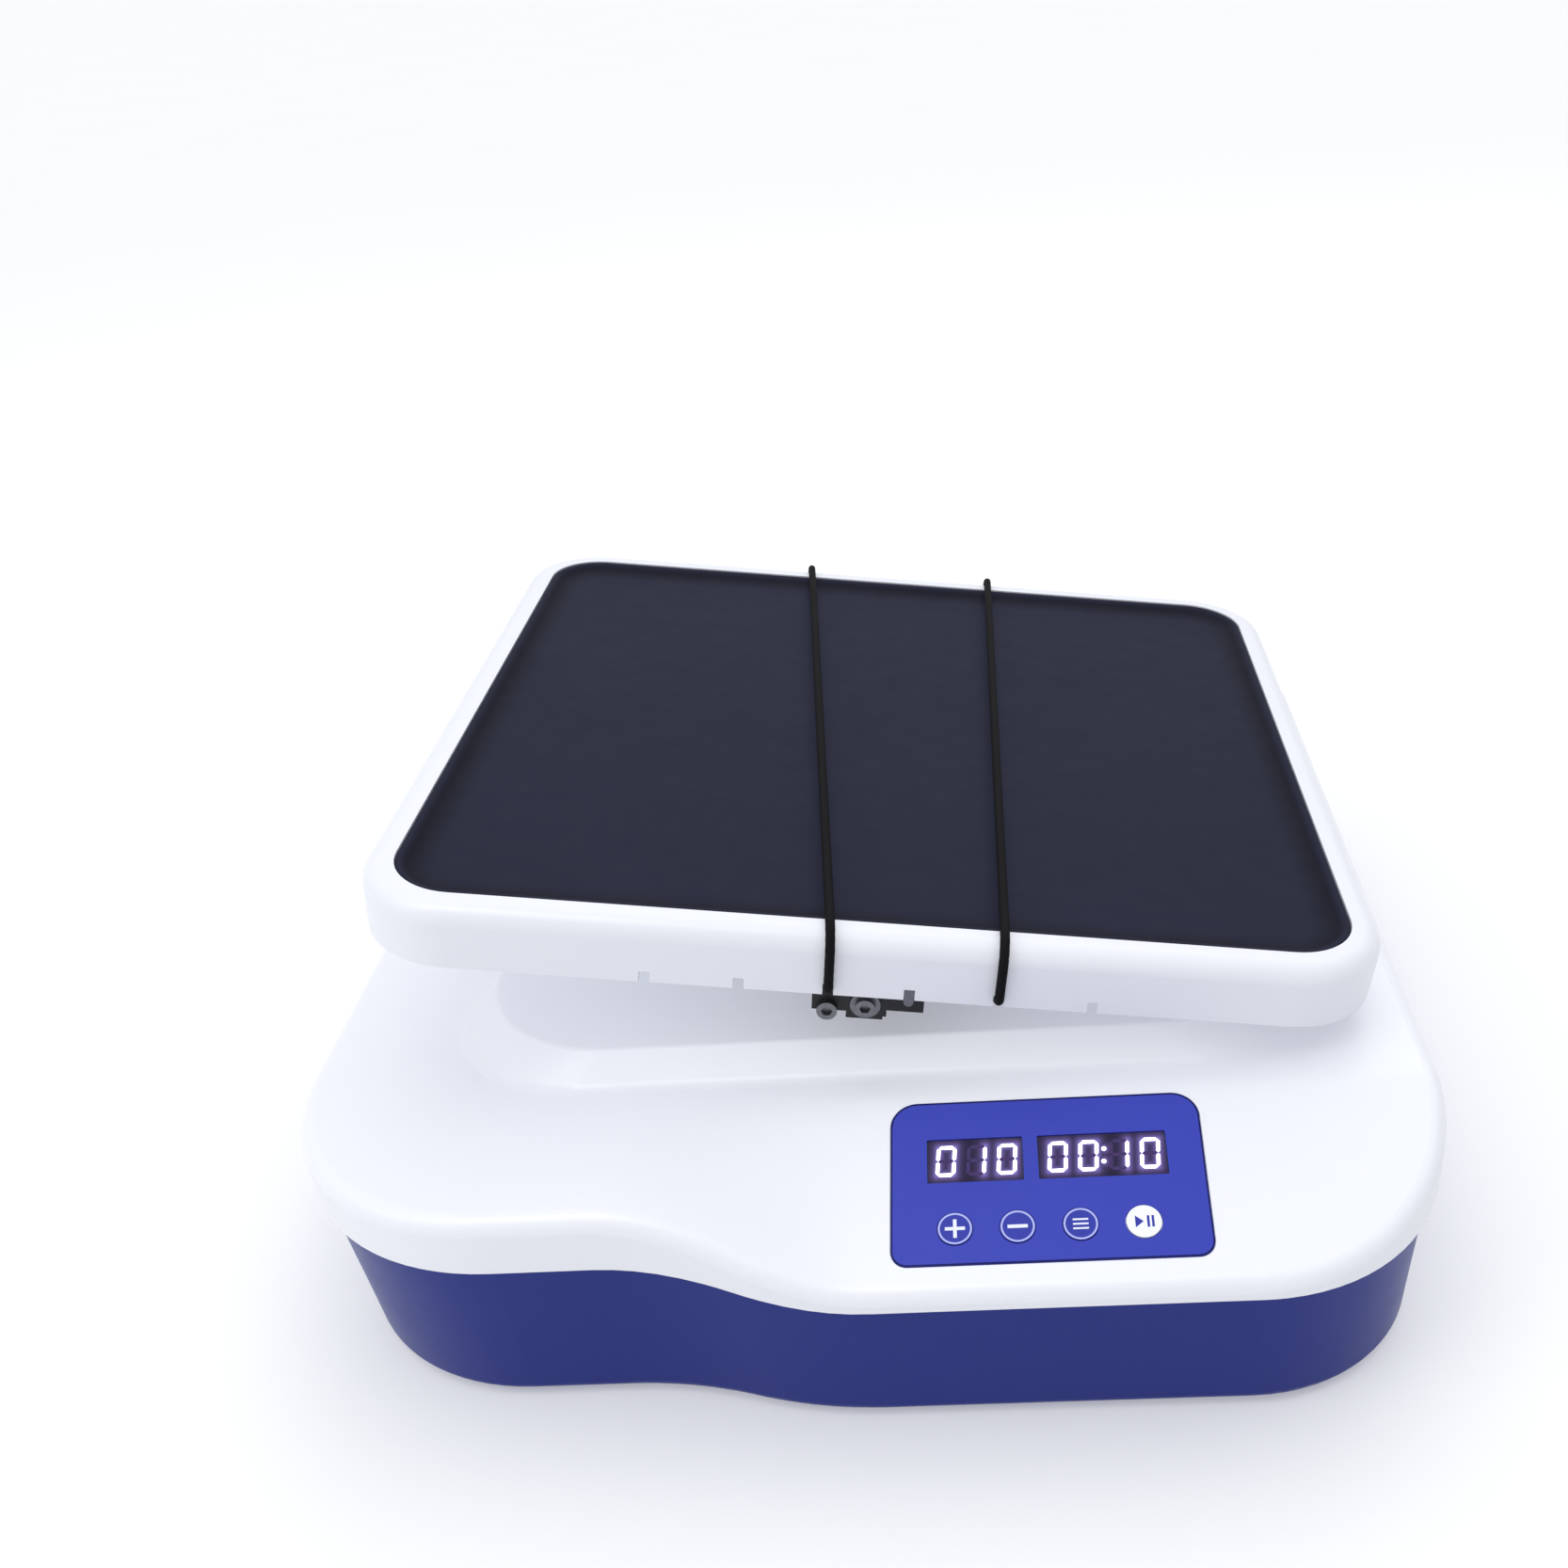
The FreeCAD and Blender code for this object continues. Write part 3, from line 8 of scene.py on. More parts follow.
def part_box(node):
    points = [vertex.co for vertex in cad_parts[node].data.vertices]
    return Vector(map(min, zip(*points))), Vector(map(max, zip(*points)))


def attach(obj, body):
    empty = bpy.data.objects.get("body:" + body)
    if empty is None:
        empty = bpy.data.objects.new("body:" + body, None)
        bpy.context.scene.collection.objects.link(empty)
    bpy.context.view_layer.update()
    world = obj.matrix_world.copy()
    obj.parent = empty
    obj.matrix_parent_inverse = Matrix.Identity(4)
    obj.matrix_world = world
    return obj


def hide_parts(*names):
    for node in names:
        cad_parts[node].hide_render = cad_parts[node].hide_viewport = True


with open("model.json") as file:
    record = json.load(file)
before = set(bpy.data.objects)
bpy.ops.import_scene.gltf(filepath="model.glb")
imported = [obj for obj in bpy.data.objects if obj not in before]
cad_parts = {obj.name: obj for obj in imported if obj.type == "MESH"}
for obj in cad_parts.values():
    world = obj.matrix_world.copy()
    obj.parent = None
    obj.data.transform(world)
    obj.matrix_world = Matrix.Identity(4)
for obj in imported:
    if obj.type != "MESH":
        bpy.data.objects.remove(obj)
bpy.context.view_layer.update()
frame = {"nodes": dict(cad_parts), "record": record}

MM = 0.001

# sizes in mm that repeat the CAD's
MAT_CORNER = 27.7
CORD_RADIUS, CORD_INNER = 2.0, 184.0
CORD_AT_RIM, CORD_AT_FOOT = 10.3, 3.5
PANEL_BACK, PANEL_FRONT = 11.0, 6.5
OVERLAY_DEPTH = 0.35


# ---- materials ----------------------------------------------------------------------------

def material(name, color, rough, metal=0.0, coat=0.0, coat_rough=0.1, spec=0.5, tint=0.06,
             patch=30.0, grain=1400.0, bump=0.00002, rough_spread=0.06,
             emission=None, strength=0.0, stretch=(1, 1, 1)):
    """A surface with a slow colour change, a fine grain in its height and an uneven gloss.

    patch and grain are how many patches and grains go into a metre; bump is in metres.
    """
    made = bpy.data.materials.new(name)
    made.use_nodes = True
    nodes, links = made.node_tree.nodes, made.node_tree.links
    shader = nodes["Principled BSDF"]
    shader.inputs["Metallic"].default_value = metal
    shader.inputs["Coat Weight"].default_value = coat
    shader.inputs["Coat Roughness"].default_value = coat_rough
    shader.inputs["Specular IOR Level"].default_value = spec
    place = nodes.new("ShaderNodeTexCoord")
    mapping = nodes.new("ShaderNodeMapping")
    mapping.inputs["Scale"].default_value = stretch
    links.new(place.outputs["Object"], mapping.inputs["Vector"])

    slow = nodes.new("ShaderNodeTexNoise")
    slow.inputs["Scale"].default_value = patch
    slow.inputs["Detail"].default_value = 3.0
    links.new(mapping.outputs["Vector"], slow.inputs["Vector"])
    shade = nodes.new("ShaderNodeMix")
    shade.data_type = "RGBA"
    shade.inputs["A"].default_value = (*[c * (1 - tint) for c in color], 1)
    shade.inputs["B"].default_value = (*[min(c * (1 + tint), 1) for c in color], 1)
    links.new(slow.outputs["Fac"], shade.inputs["Factor"])
    links.new(shade.outputs["Result"], shader.inputs["Base Color"])

    gloss = nodes.new("ShaderNodeMapRange")
    gloss.inputs["To Min"].default_value = max(rough - rough_spread, 0.02)
    gloss.inputs["To Max"].default_value = min(rough + rough_spread, 1.0)
    middle = nodes.new("ShaderNodeTexNoise")
    middle.inputs["Scale"].default_value = patch * 6
    middle.inputs["Detail"].default_value = 2.0
    links.new(mapping.outputs["Vector"], middle.inputs["Vector"])
    links.new(middle.outputs["Fac"], gloss.inputs["Value"])
    links.new(gloss.outputs["Result"], shader.inputs["Roughness"])

    fine = nodes.new("ShaderNodeTexNoise")
    fine.inputs["Scale"].default_value = grain
    fine.inputs["Detail"].default_value = 2.0
    links.new(mapping.outputs["Vector"], fine.inputs["Vector"])
    relief = nodes.new("ShaderNodeBump")
    relief.inputs["Strength"].default_value = 0.6
    relief.inputs["Distance"].default_value = bump
    links.new(fine.outputs["Fac"], relief.inputs["Height"])
    links.new(relief.outputs["Normal"], shader.inputs["Normal"])
    if emission:
        shader.inputs["Emission Color"].default_value = (*emission, 1)
        shader.inputs["Emission Strength"].default_value = strength
    return made


M = {
    "cover": material("cover_white", (0.835, 0.85, 0.90), 0.34, tint=0.01, patch=9, grain=900,
                      bump=0.000012, coat=0.12, coat_rough=0.25, spec=0.4),
    "tub": material("tub_blue", (0.014, 0.026, 0.205), 0.36, tint=0.07, patch=7, grain=1300,
                    bump=0.00002, coat=0.02, coat_rough=0.3, spec=0.16),
    "tray": material("tray_white", (0.81, 0.825, 0.885), 0.36, tint=0.01, patch=8, grain=1000,
                     bump=0.000014, coat=0.1, coat_rough=0.28, spec=0.4),
    "mat": material("mat_navy", (0.0135, 0.0155, 0.0350), 0.64, tint=0.10, patch=14, grain=1700,
                    bump=0.00006, spec=0.11),
    "rubber": material("foot_rubber", (0.018, 0.018, 0.019), 0.78, tint=0.2, patch=60, bump=0.00006),
    "cord": material("elastic_cord", (0.005, 0.005, 0.006), 0.74, tint=0.3, patch=400, grain=2600,
                     bump=0.00008, spec=0.12),
    "steel": material("zinc_steel", (0.17, 0.175, 0.19), 0.34, metal=1, tint=0.25, patch=420,
                      grain=2500, bump=0.00001, rough_spread=0.12),
    "dark_steel": material("ground_steel", (0.30, 0.31, 0.33), 0.34, metal=1, tint=0.12, patch=80,
                           grain=2200, bump=0.000015, stretch=(1, 1, 6)),
    "bearing": material("bearing_steel", (0.62, 0.62, 0.64), 0.18, metal=1, tint=0.05, patch=90,
                        bump=0.000006),
    "alu": material("machined_aluminium", (0.66, 0.67, 0.69), 0.36, metal=1, tint=0.06, patch=50,
                    grain=1500, bump=0.00002, stretch=(8, 1, 1)),
    "black_paint": material("black_paint", (0.010, 0.010, 0.012), 0.46, tint=0.2, patch=120,
                            grain=1500, bump=0.00004, spec=0.35),
    "panel": material("panel_film", (0.031, 0.047, 0.43), 0.40, tint=0.05, patch=18, grain=2600,
                      bump=0.000012, coat=0.05, coat_rough=0.25, spec=0.2),
    "panel_edge": material("panel_border", (0.006, 0.008, 0.10), 0.45, tint=0.06, patch=25,
                           grain=2600, bump=0.000012, spec=0.1),
    "window": material("display_window", (0.008, 0.005, 0.024), 0.30, tint=0.3, patch=160,
                       grain=1800, bump=0.000008, spec=0.12, emission=(0.10, 0.045, 0.30),
                       strength=0.10),
    "lit": material("lit_segment", (0.9, 0.9, 1.0), 0.4, tint=0.02, emission=(0.95, 0.90, 1.0),
                    strength=2.4),
    "unlit": material("unlit_segment", (0.05, 0.03, 0.11), 0.4, tint=0.2, patch=300, spec=0.08,
                      emission=(0.20, 0.12, 0.50), strength=0.05),
    "print": material("white_print", (0.42, 0.46, 0.86), 0.42, tint=0.02, patch=200, spec=0.3),
    "mark": material("white_mark", (0.80, 0.83, 0.95), 0.42, tint=0.02, patch=200, spec=0.3),
    "key": material("key_film", (0.025, 0.037, 0.36), 0.40, tint=0.06, patch=60, grain=2600,
                    bump=0.00001, coat=0.05, coat_rough=0.2, spec=0.2),
    "key_white": material("key_white", (0.86, 0.87, 0.93), 0.38, tint=0.02, patch=80, coat=0.1),
    "pcb": material("solder_mask", (0.012, 0.10, 0.035), 0.34, tint=0.25, patch=220, coat=0.4),
    "black": material("black_plastic", (0.016, 0.016, 0.017), 0.46, tint=0.15, patch=80, grain=1500,
                      bump=0.00005),
    "belt": material("belt_rubber", (0.013, 0.013, 0.013), 0.66, tint=0.3, patch=200, grain=900,
                     bump=0.0001),
    "copper": material("copper_winding", (0.46, 0.19, 0.07), 0.30, metal=1, tint=0.2, patch=500,
                       grain=900, bump=0.0002, stretch=(1, 1, 5)),
    "sleeve": material("capacitor_sleeve", (0.02, 0.035, 0.10), 0.32, tint=0.1, patch=90, coat=0.3),
}

WEARS = {
    "cover": ["top_cover"], "tub": ["lower_housing"], "tray": ["tray"], "mat": ["tray_mat"],
    "rubber": ["rubber_feet"], "cord": ["strap_left", "strap_right"],
    "steel": ["foot_screws", "cover_screws", "chassis_screws", "spindle_washer", "spindle_screw",
              "motor_bracket", "motor_screws", "carrier_screws", "tray_screws", "clamp_washer",
              "clamp_screw", "lock_screw", "notch_tab", "board_screws", "rear_panel", "inlet_pins"],
    "dark_steel": ["crank_shaft", "driven_pulley", "motor_pulley", "crank_block", "seat_set_screw",
                   "tilt_spindle", "motor_shaft"],
    "bearing": ["shaft_bearings", "spindle_bearings"],
    "alu": ["chassis_plate", "bearing_housing", "guide_block", "guide_arm", "platform_hub",
            "carrier_plate", "heat_sink"],
    "black_paint": ["motor_body", "front_bracket"],
    "panel": ["control_overlay"], "window": ["speed_display", "time_display"],
    "key": ["key_plus", "key_minus", "key_mode"], "key_white": ["key_start"],
    "pcb": ["display_board", "power_board"],
    "black": ["speed_sensor", "guide_roller", "strap_stops", "key_switches", "power_inlet",
              "switch_frame", "power_rocker"],
    "belt": ["timing_belt"], "copper": ["transformer"], "sleeve": ["capacitors"],
}
for key, nodes_ in WEARS.items():
    for name in nodes_:
        mesh = frame["nodes"][name].data
        mesh.materials.clear()
        mesh.materials.append(M[key])


# ---- places -------------------------------------------------------------------------------

def middle_of(node):
    low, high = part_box(node)
    return (low + high) / 2


def local_box(node, matrix):
    """A node's bounds along a matrix's own axes, in mm."""
    back = matrix.inverted()
    spots = [back @ v.co / MM for v in frame["nodes"][node].data.vertices]
    return (Vector([min(p[k] for p in spots) for k in range(3)]),
            Vector([max(p[k] for p in spots) for k in range(3)]))


JOINTS = {j["name"]: j for j in frame["record"]["behaviour"]["joints"]}
tilt_axis = Vector(JOINTS["platform_spin"]["axis"]).normalized()
nutation = Vector(JOINTS["platform_spin"]["pos_m"])
tray_turn = Vector((0, 0, 1)).rotation_difference(tilt_axis)
TRAY = Matrix.Translation(nutation) @ tray_turn.to_matrix().to_4x4()
press = -Vector(JOINTS["key_plus_press"]["axis"]).normalized()
panel_slope = math.atan2(-press.y, press.z)
PANEL = (Matrix.Translation(middle_of("control_overlay") + press * OVERLAY_DEPTH * MM)
         @ Matrix.Rotation(panel_slope, 4, "X"))


# ---- camera, light and floor ----------------------------------------------------------------

def aim(azimuth, elevation, roll):
    """The camera's turn for a view from azimuth and elevation, with a roll, in degrees."""
    a, e = math.radians(azimuth), math.radians(elevation)
    back = Vector((math.sin(a) * math.cos(e), -math.cos(a) * math.cos(e), math.sin(e)))
    turn = back.to_track_quat("Z", "Y").to_matrix().to_4x4()
    return turn @ Matrix.Rotation(math.radians(roll), 4, "Z")


camera_data = bpy.data.cameras.new("camera")
camera = bpy.data.objects.new("camera", camera_data)
bpy.context.scene.collection.objects.link(camera)
bpy.context.scene.camera = camera
camera_data.lens = 36.20
camera_data.shift_x = -0.0762
camera_data.shift_y = 0.1148
camera_data.clip_start = 0.05
CAMERA_AT = (0.0671, -0.6670, 0.5166)
AZIMUTH, ELEVATION, ROLL = 4.55, 34.44, -5.48
camera.matrix_world = Matrix.Translation(CAMERA_AT) @ aim(AZIMUTH, ELEVATION, ROLL)

bpy.context.scene.view_settings.view_transform = "Standard"

world = bpy.data.worlds.new("studio")
bpy.context.scene.world = world
world.use_nodes = True
sky = world.node_tree.nodes["Background"]
sky.inputs["Color"].default_value = (0.955, 0.97, 1.0, 1)

# the studio's walls look as pale as the floor, yet light the object only softly
WALL_LIGHT, WALL_SEEN = 0.58, 1.05
seen_directly = world.node_tree.nodes.new("ShaderNodeLightPath")
sky_strength = world.node_tree.nodes.new("ShaderNodeMapRange")
sky_strength.inputs["To Min"].default_value = WALL_LIGHT
sky_strength.inputs["To Max"].default_value = WALL_SEEN
world.node_tree.links.new(seen_directly.outputs["Is Camera Ray"], sky_strength.inputs["Value"])
world.node_tree.links.new(sky_strength.outputs["Result"], sky.inputs["Strength"])


def area_light(name, at, target, size, power):
    data = bpy.data.lights.new(name, "AREA")
    data.shape = "RECTANGLE"
    data.size, data.size_y = size
    data.energy = power
    lamp = bpy.data.objects.new(name, data)
    bpy.context.scene.collection.objects.link(lamp)
    lamp.matrix_world = (Matrix.Translation(at)
                         @ (Vector(at) - Vector(target)).to_track_quat("Z", "Y").to_matrix().to_4x4())


area_light("left_softbox", (-1.1, -0.7, 1.1), (0, 0, 0.1), (0.9, 0.9), 3)
area_light("back_softbox", (0.3, 1.5, 1.6), (0, 0, 0.1), (2.0, 0.9), 5)


def sun(name, toward, energy, angle, shadow=True):
    data = bpy.data.lights.new(name, "SUN")
    data.energy, data.angle, data.use_shadow = energy, math.radians(angle), shadow
    lamp = bpy.data.objects.new(name, data)
    bpy.context.scene.collection.objects.link(lamp)
    lamp.matrix_world = Vector(toward).to_track_quat("Z", "Y").to_matrix().to_4x4()


sun("ceiling", (0.2, 0.3, 1), 0.62, 75)
sun("overhead_fill", (-0.25, -0.2, 1), 0.98, 30, shadow=False)

FLOOR = 60
floor_mesh = bpy.data.meshes.new("floor")
floor_mesh.from_pydata([(-FLOOR, -FLOOR, 0), (FLOOR, -FLOOR, 0), (FLOOR, FLOOR, 0), (-FLOOR, FLOOR, 0)],
                       [], [(0, 1, 2, 3)])
floor = bpy.data.objects.new("floor", floor_mesh)
bpy.context.scene.collection.objects.link(floor)
floor_mesh.materials.append(material("floor_paper", (0.93, 0.935, 0.94), 0.9, tint=0.01, patch=2,
                                     spec=0.1))
floor.location.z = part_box("rubber_feet")[0].z


# ---- mesh helpers ---------------------------------------------------------------------------

def piece(name, verts, faces, mat, body, smooth=False, matrix=None):
    mesh = bpy.data.meshes.new(name)
    mesh.from_pydata(verts, [], faces)
    mesh.update()
    if smooth:
        mesh.polygons.foreach_set("use_smooth", [True] * len(mesh.polygons))
    mesh.materials.append(M[mat])
    made = bpy.data.objects.new(name, mesh)
    bpy.context.scene.collection.objects.link(made)
    if matrix is not None:
        mesh.transform(matrix)
    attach(made, body)
    return made


def slabs(name, outlines, low, high, mat, body, matrix):
    """Flat raised shapes: each outline, in mm, becomes a thin prism from low to high."""
    verts, faces = [], []
    for outline in outlines:
        base, count = len(verts), len(outline)
        verts += [(x * MM, y * MM, low * MM) for x, y in outline]
        verts += [(x * MM, y * MM, high * MM) for x, y in outline]
        faces.append([base + count + i for i in range(count)])
        faces.append([base + i for i in reversed(range(count))])
        faces += [(base + i, base + (i + 1) % count, base + count + (i + 1) % count, base + count + i)
                  for i in range(count)]
    return piece(name, verts, faces, mat, body, matrix=matrix)


def tube(name, points, radius, mat, body, matrix, sides=20):
    """A round cord through points, in mm."""
    path = [Vector(p) for p in points]
    verts, faces, up = [], [], None
    for i, point in enumerate(path):
        ahead = (path[min(i + 1, len(path) - 1)] - path[max(i - 1, 0)]).normalized()
        if up is None:
            up = ahead.orthogonal().normalized()
        up = (up - ahead * up.dot(ahead)).normalized()
        side = ahead.cross(up)
        for k in range(sides):
            a = 2 * math.pi * k / sides
            verts.append((point + (up * math.cos(a) + side * math.sin(a)) * radius) * MM)
    for i in range(len(path) - 1):
        for k in range(sides):
            a, b = i * sides + k, i * sides + (k + 1) % sides
            faces.append((a, b, b + sides, a + sides))
    faces.append(list(reversed(range(sides))))
    faces.append([len(verts) - sides + k for k in range(sides)])
    return piece(name, verts, faces, mat, body, smooth=True, matrix=matrix)


# ---- console ----------------------------------------------------------------------------------

SEGMENTS = {"a": ((0, 2), (1, 2)), "b": ((1, 2), (1, 1)), "c": ((1, 1), (1, 0)), "d": ((0, 0), (1, 0)),
            "e": ((0, 1), (0, 0)), "f": ((0, 2), (0, 1)), "g": ((0, 1), (1, 1))}
SHOWN = {"0": "abcdef", "1": "bc"}
DIGIT_WIDE, DIGIT_HIGH, DIGIT_PITCH, DIGIT_SHIFT = 6.4, 12.2, 12.1, 0.6
STROKE, SEGMENT_GAP, LEAN = 1.5, 0.22, math.radians(4)
DOT_RADIUS, DOT_RISE = 0.95, 2.8
HAZE_CELL, HAZE_MARGIN, HAZE_REACH, HAZE_THICK = 0.45, 0.05, 1.25, 0.02
HAZE_GLOW, HAZE_REST = 0.80, 0.015


def grid_spot(corner, origin):
    """A corner of a digit's grid, in the panel's plane; the digit leans to the right."""
    x, y = (corner[0] - 0.5) * DIGIT_WIDE, (corner[1] - 1) * DIGIT_HIGH / 2
    return Vector((origin[0] + x + y * math.tan(LEAN), origin[1] + y))


def bar(start, end):
    """One pointed segment between two corners of the digit's grid."""
    along = (end - start).normalized()
    across = Vector((-along.y, along.x)) * STROKE / 2
    a, b = start + along * SEGMENT_GAP, end - along * SEGMENT_GAP
    tip = along * STROKE / 2
    return [tuple(p) for p in (a, a + tip - across, b - tip - across, b, b - tip + across,
                               a + tip + across)]


def disc(centre, radius, steps=20):
    return [(centre[0] + radius * math.cos(2 * math.pi * k / steps),
             centre[1] + radius * math.sin(2 * math.pi * k / steps)) for k in range(steps)]


def distance_to(point, start, end):
    """How far a point is from a straight stretch."""
    run = end - start
    t = min(max((point - start).dot(run) / max(run.length_squared, 1e-9), 0), 1)
    return (point - start - run * t).length


def glow_sheet(name, node, stretches, level):
    """The lit haze in a display's window: a fine grid whose vertices hold the haze."""
    low, high = local_box(node, PANEL)
    wide, tall = high.x - low.x - 2 * HAZE_MARGIN, high.y - low.y - 2 * HAZE_MARGIN
    columns, rows = int(wide / HAZE_CELL), int(tall / HAZE_CELL)
    row = columns + 1
    verts = [Vector((low.x + HAZE_MARGIN + wide * i / columns, low.y + HAZE_MARGIN + tall * j / rows))
             for j in range(rows + 1) for i in range(row)]
    faces = [(j * row + i, j * row + i + 1, (j + 1) * row + i + 1, (j + 1) * row + i)
             for j in range(rows) for i in range(columns)]
    haze = [math.exp(-min(distance_to(p, a, b) for a, b in stretches) / HAZE_REACH) for p in verts]
    border = (list(range(columns)) + [j * row + columns for j in range(rows)]
              + [rows * row + i for i in range(columns, 0, -1)] + [j * row for j in range(rows, 0, -1)])
    top = len(verts)
    spots = [(p.x * MM, p.y * MM, level * MM) for p in verts]
    spots += [(spots[i][0], spots[i][1], (level - HAZE_THICK) * MM) for i in border]
    haze += [haze[i] for i in border]
    faces += [(border[k - 1], top + (k - 1) % len(border), top + k, border[k]) for k in range(len(border))]
    faces.append([top + k for k in reversed(range(len(border)))])
    made = piece(name, spots, faces, "haze", "base", matrix=PANEL)
    layer = made.data.attributes.new("haze", "FLOAT", "POINT")
    layer.data.foreach_set("value", haze)
    return made


haze_mat = M["window"].copy()
haze_mat.name = "display_haze"
M["haze"] = haze_mat
tree = haze_mat.node_tree
reader = tree.nodes.new("ShaderNodeAttribute")
reader.attribute_name = "haze"
gain = tree.nodes.new("ShaderNodeMath")
gain.operation = "MULTIPLY_ADD"
gain.inputs[1].default_value = HAZE_GLOW
gain.inputs[2].default_value = HAZE_REST
tree.links.new(reader.outputs["Fac"], gain.inputs[0])
haze_shader = tree.nodes["Principled BSDF"]
haze_shader.inputs["Emission Color"].default_value = (0.42, 0.30, 0.95, 1)
tree.links.new(gain.outputs["Value"], haze_shader.inputs["Emission Strength"])

for node, text in (("speed_display", "010"), ("time_display", "0010")):
    low, high = local_box(node, PANEL)
    mid_u, mid_v = (low.x + high.x) / 2 + DIGIT_SHIFT, (low.y + high.y) / 2
    lit, unlit, stretches = [], [], []
    for i, character in enumerate(text):
        spot = (mid_u + (i - (len(text) - 1) / 2) * DIGIT_PITCH, mid_v)
        for segment, (start, end) in SEGMENTS.items():
            start, end = grid_spot(start, spot), grid_spot(end, spot)
            if segment in SHOWN[character]:
                lit.append(bar(start, end))
                stretches.append((start, end))
            else:
                unlit.append(bar(start, end))
    if len(text) == 4:
        for dv in (-DOT_RISE, DOT_RISE):
            dot = Vector((mid_u + dv * math.tan(LEAN), mid_v + dv))
            lit.append(disc(dot, DOT_RADIUS))
            stretches.append((dot, dot))
    glow_sheet(node + "_haze", node, stretches, high.z + 0.03)
    slabs(node + "_lit", lit, high.z + 0.04, high.z + 0.10, "lit", "base", PANEL)
    slabs(node + "_unlit", unlit, high.z + 0.04, high.z + 0.06, "unlit", "base", PANEL)


def rounded_loop(half_u, half_v, back, front=None, steps=12):
    """The outline of a rounded rectangle about the origin, with its back and front corners."""
    points = []
    front = back if front is None else front
    for cu, cv, start, corner in ((1, 1, 0, back), (-1, 1, 90, back), (-1, -1, 180, front),
                                  (1, -1, 270, front)):
        for k in range(steps + 1):
            a = math.radians(start + 90 * k / steps)
            points.append((cu * (half_u - corner) + corner * math.cos(a),
                           cv * (half_v - corner) + corner * math.sin(a)))
    return points


def frame_slab(name, outer, inner, low, high, mat, body, slot, matrix):
    """A thin raised frame between two loops with as many points each."""
    count = len(outer)
    verts = [(x * MM, y * MM, z * MM) for ring in (outer, inner) for z in (low, high) for x, y in ring]
    faces = []
    for i in range(count):
        j = (i + 1) % count
        faces += [(count + i, count + j, 3 * count + j, 3 * count + i), (i, j, count + j, count + i),
                  (2 * count + j, 2 * count + i, 3 * count + i, 3 * count + j),
                  (j, i, 2 * count + i, 2 * count + j)]
    return piece(name, verts, faces, mat, body, matrix=matrix)


low, high = local_box("control_overlay", PANEL)
half_u, half_v = (high.x - low.x) / 2, (high.y - low.y) / 2
border_rims = [rounded_loop(half_u - inset, half_v - inset, PANEL_BACK - inset, PANEL_FRONT - inset)
               for inset in (0.02, 0.7)]
frame_slab("panel_border", *border_rims, high.z + 0.01, high.z + 0.05, "panel_edge", "base",
           "panel_blue", PANEL)


RING_OUTER, RING_INNER = 6.6, 5.85
SIGN_REACH, SIGN_HALF = 3.9, 0.7


def bar_mark(u, v, wide, tall):
    return [(u - wide / 2, v - tall / 2), (u + wide / 2, v - tall / 2), (u + wide / 2, v + tall / 2),
            (u - wide / 2, v + tall / 2)]


def plus_mark(u, v):
    """A plus sign as one outline."""
    r, h = SIGN_REACH, SIGN_HALF
    points = [(-r, -h), (-h, -h), (-h, -r), (h, -r), (h, -h), (r, -h), (r, h), (h, h), (h, r), (-h, r),
              (-h, h), (-r, h)]
    return [(u + x, v + y) for x, y in points]


KEY_MARKS = {
    "key_plus": lambda u, v: [plus_mark(u, v)],
    "key_minus": lambda u, v: [bar_mark(u, v, 7.8, 1.45)],
    "key_mode": lambda u, v: [bar_mark(u, v + dv, 6.0, 0.75) for dv in (-1.9, 0, 1.9)],
    "key_start": lambda u, v: [[(u - 3.4, v - 2.5), (u - 0.2, v), (u - 3.4, v + 2.5)],
                               bar_mark(u + 1.6, v, 0.95, 4.8), bar_mark(u + 3.4, v, 0.95, 4.8)],
}
for node, marks in KEY_MARKS.items():
    low, high = local_box(node, PANEL)
    u, v, top = (low.x + high.x) / 2, (low.y + high.y) / 2, high.z
    if node != "key_start":
        frame_slab(node + "_ring", disc((u, v), RING_OUTER, 72), disc((u, v), RING_INNER, 72),
                   top + 0.01, top + 0.06, "print", node, "key_face", PANEL)
    slabs(node + "_mark", marks(u, v), top + 0.01, top + 0.06, "key" if node == "key_start" else "mark",
          node, PANEL)


# ---- mat and cords ----------------------------------------------------------------------------

low, high = local_box("tray_mat", TRAY)
half_x, half_y = (high.x - low.x) / 2, (high.y - low.y) / 2
thick = high.z - low.z
# from the mat's outer edge inwards: (inset, height above its underside)
MAT_PROFILE = [(0, 0), (0, thick - 0.9), (0.1, thick - 0.45), (0.4, thick - 0.1), (0.9, thick),
               (1.7, thick - 0.05), (2.5, thick - 0.35), (3.4, thick - 0.95), (4.5, thick - 1.7),
               (5.8, thick - 2.4), (7.4, thick - 2.95), (9.4, thick - 3.3), (11.8, thick - 3.5),
               (14.5, thick - 3.58), (17.5, thick - 3.59)]
mat_verts, mat_faces, steps = [], [], 16
for inset, level in MAT_PROFILE:
    corner = max(MAT_CORNER - inset, 10)
    mat_verts += [(x * MM, y * MM, (low.z + level) * MM)
                  for x, y in rounded_loop(half_x - inset, half_y - inset, corner, steps=steps)]
loop_size = len(mat_verts) // len(MAT_PROFILE)
for ring in range(len(MAT_PROFILE) - 1):
    for i in range(loop_size):
        j = (i + 1) % loop_size
        a = ring * loop_size
        mat_faces.append((a + i, a + j, a + loop_size + j, a + loop_size + i))
mat_faces.append([len(mat_verts) - loop_size + i for i in range(loop_size)])
mat_faces.append(list(reversed(range(loop_size))))
mat_sheet = piece("mat_sheet", mat_verts, mat_faces, "mat", "platform", smooth=True,
                  matrix=TRAY)
mat_sheet.data.polygons[-1].use_smooth = False
mat_sheet.data.polygons[-2].use_smooth = False
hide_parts("tray_mat")

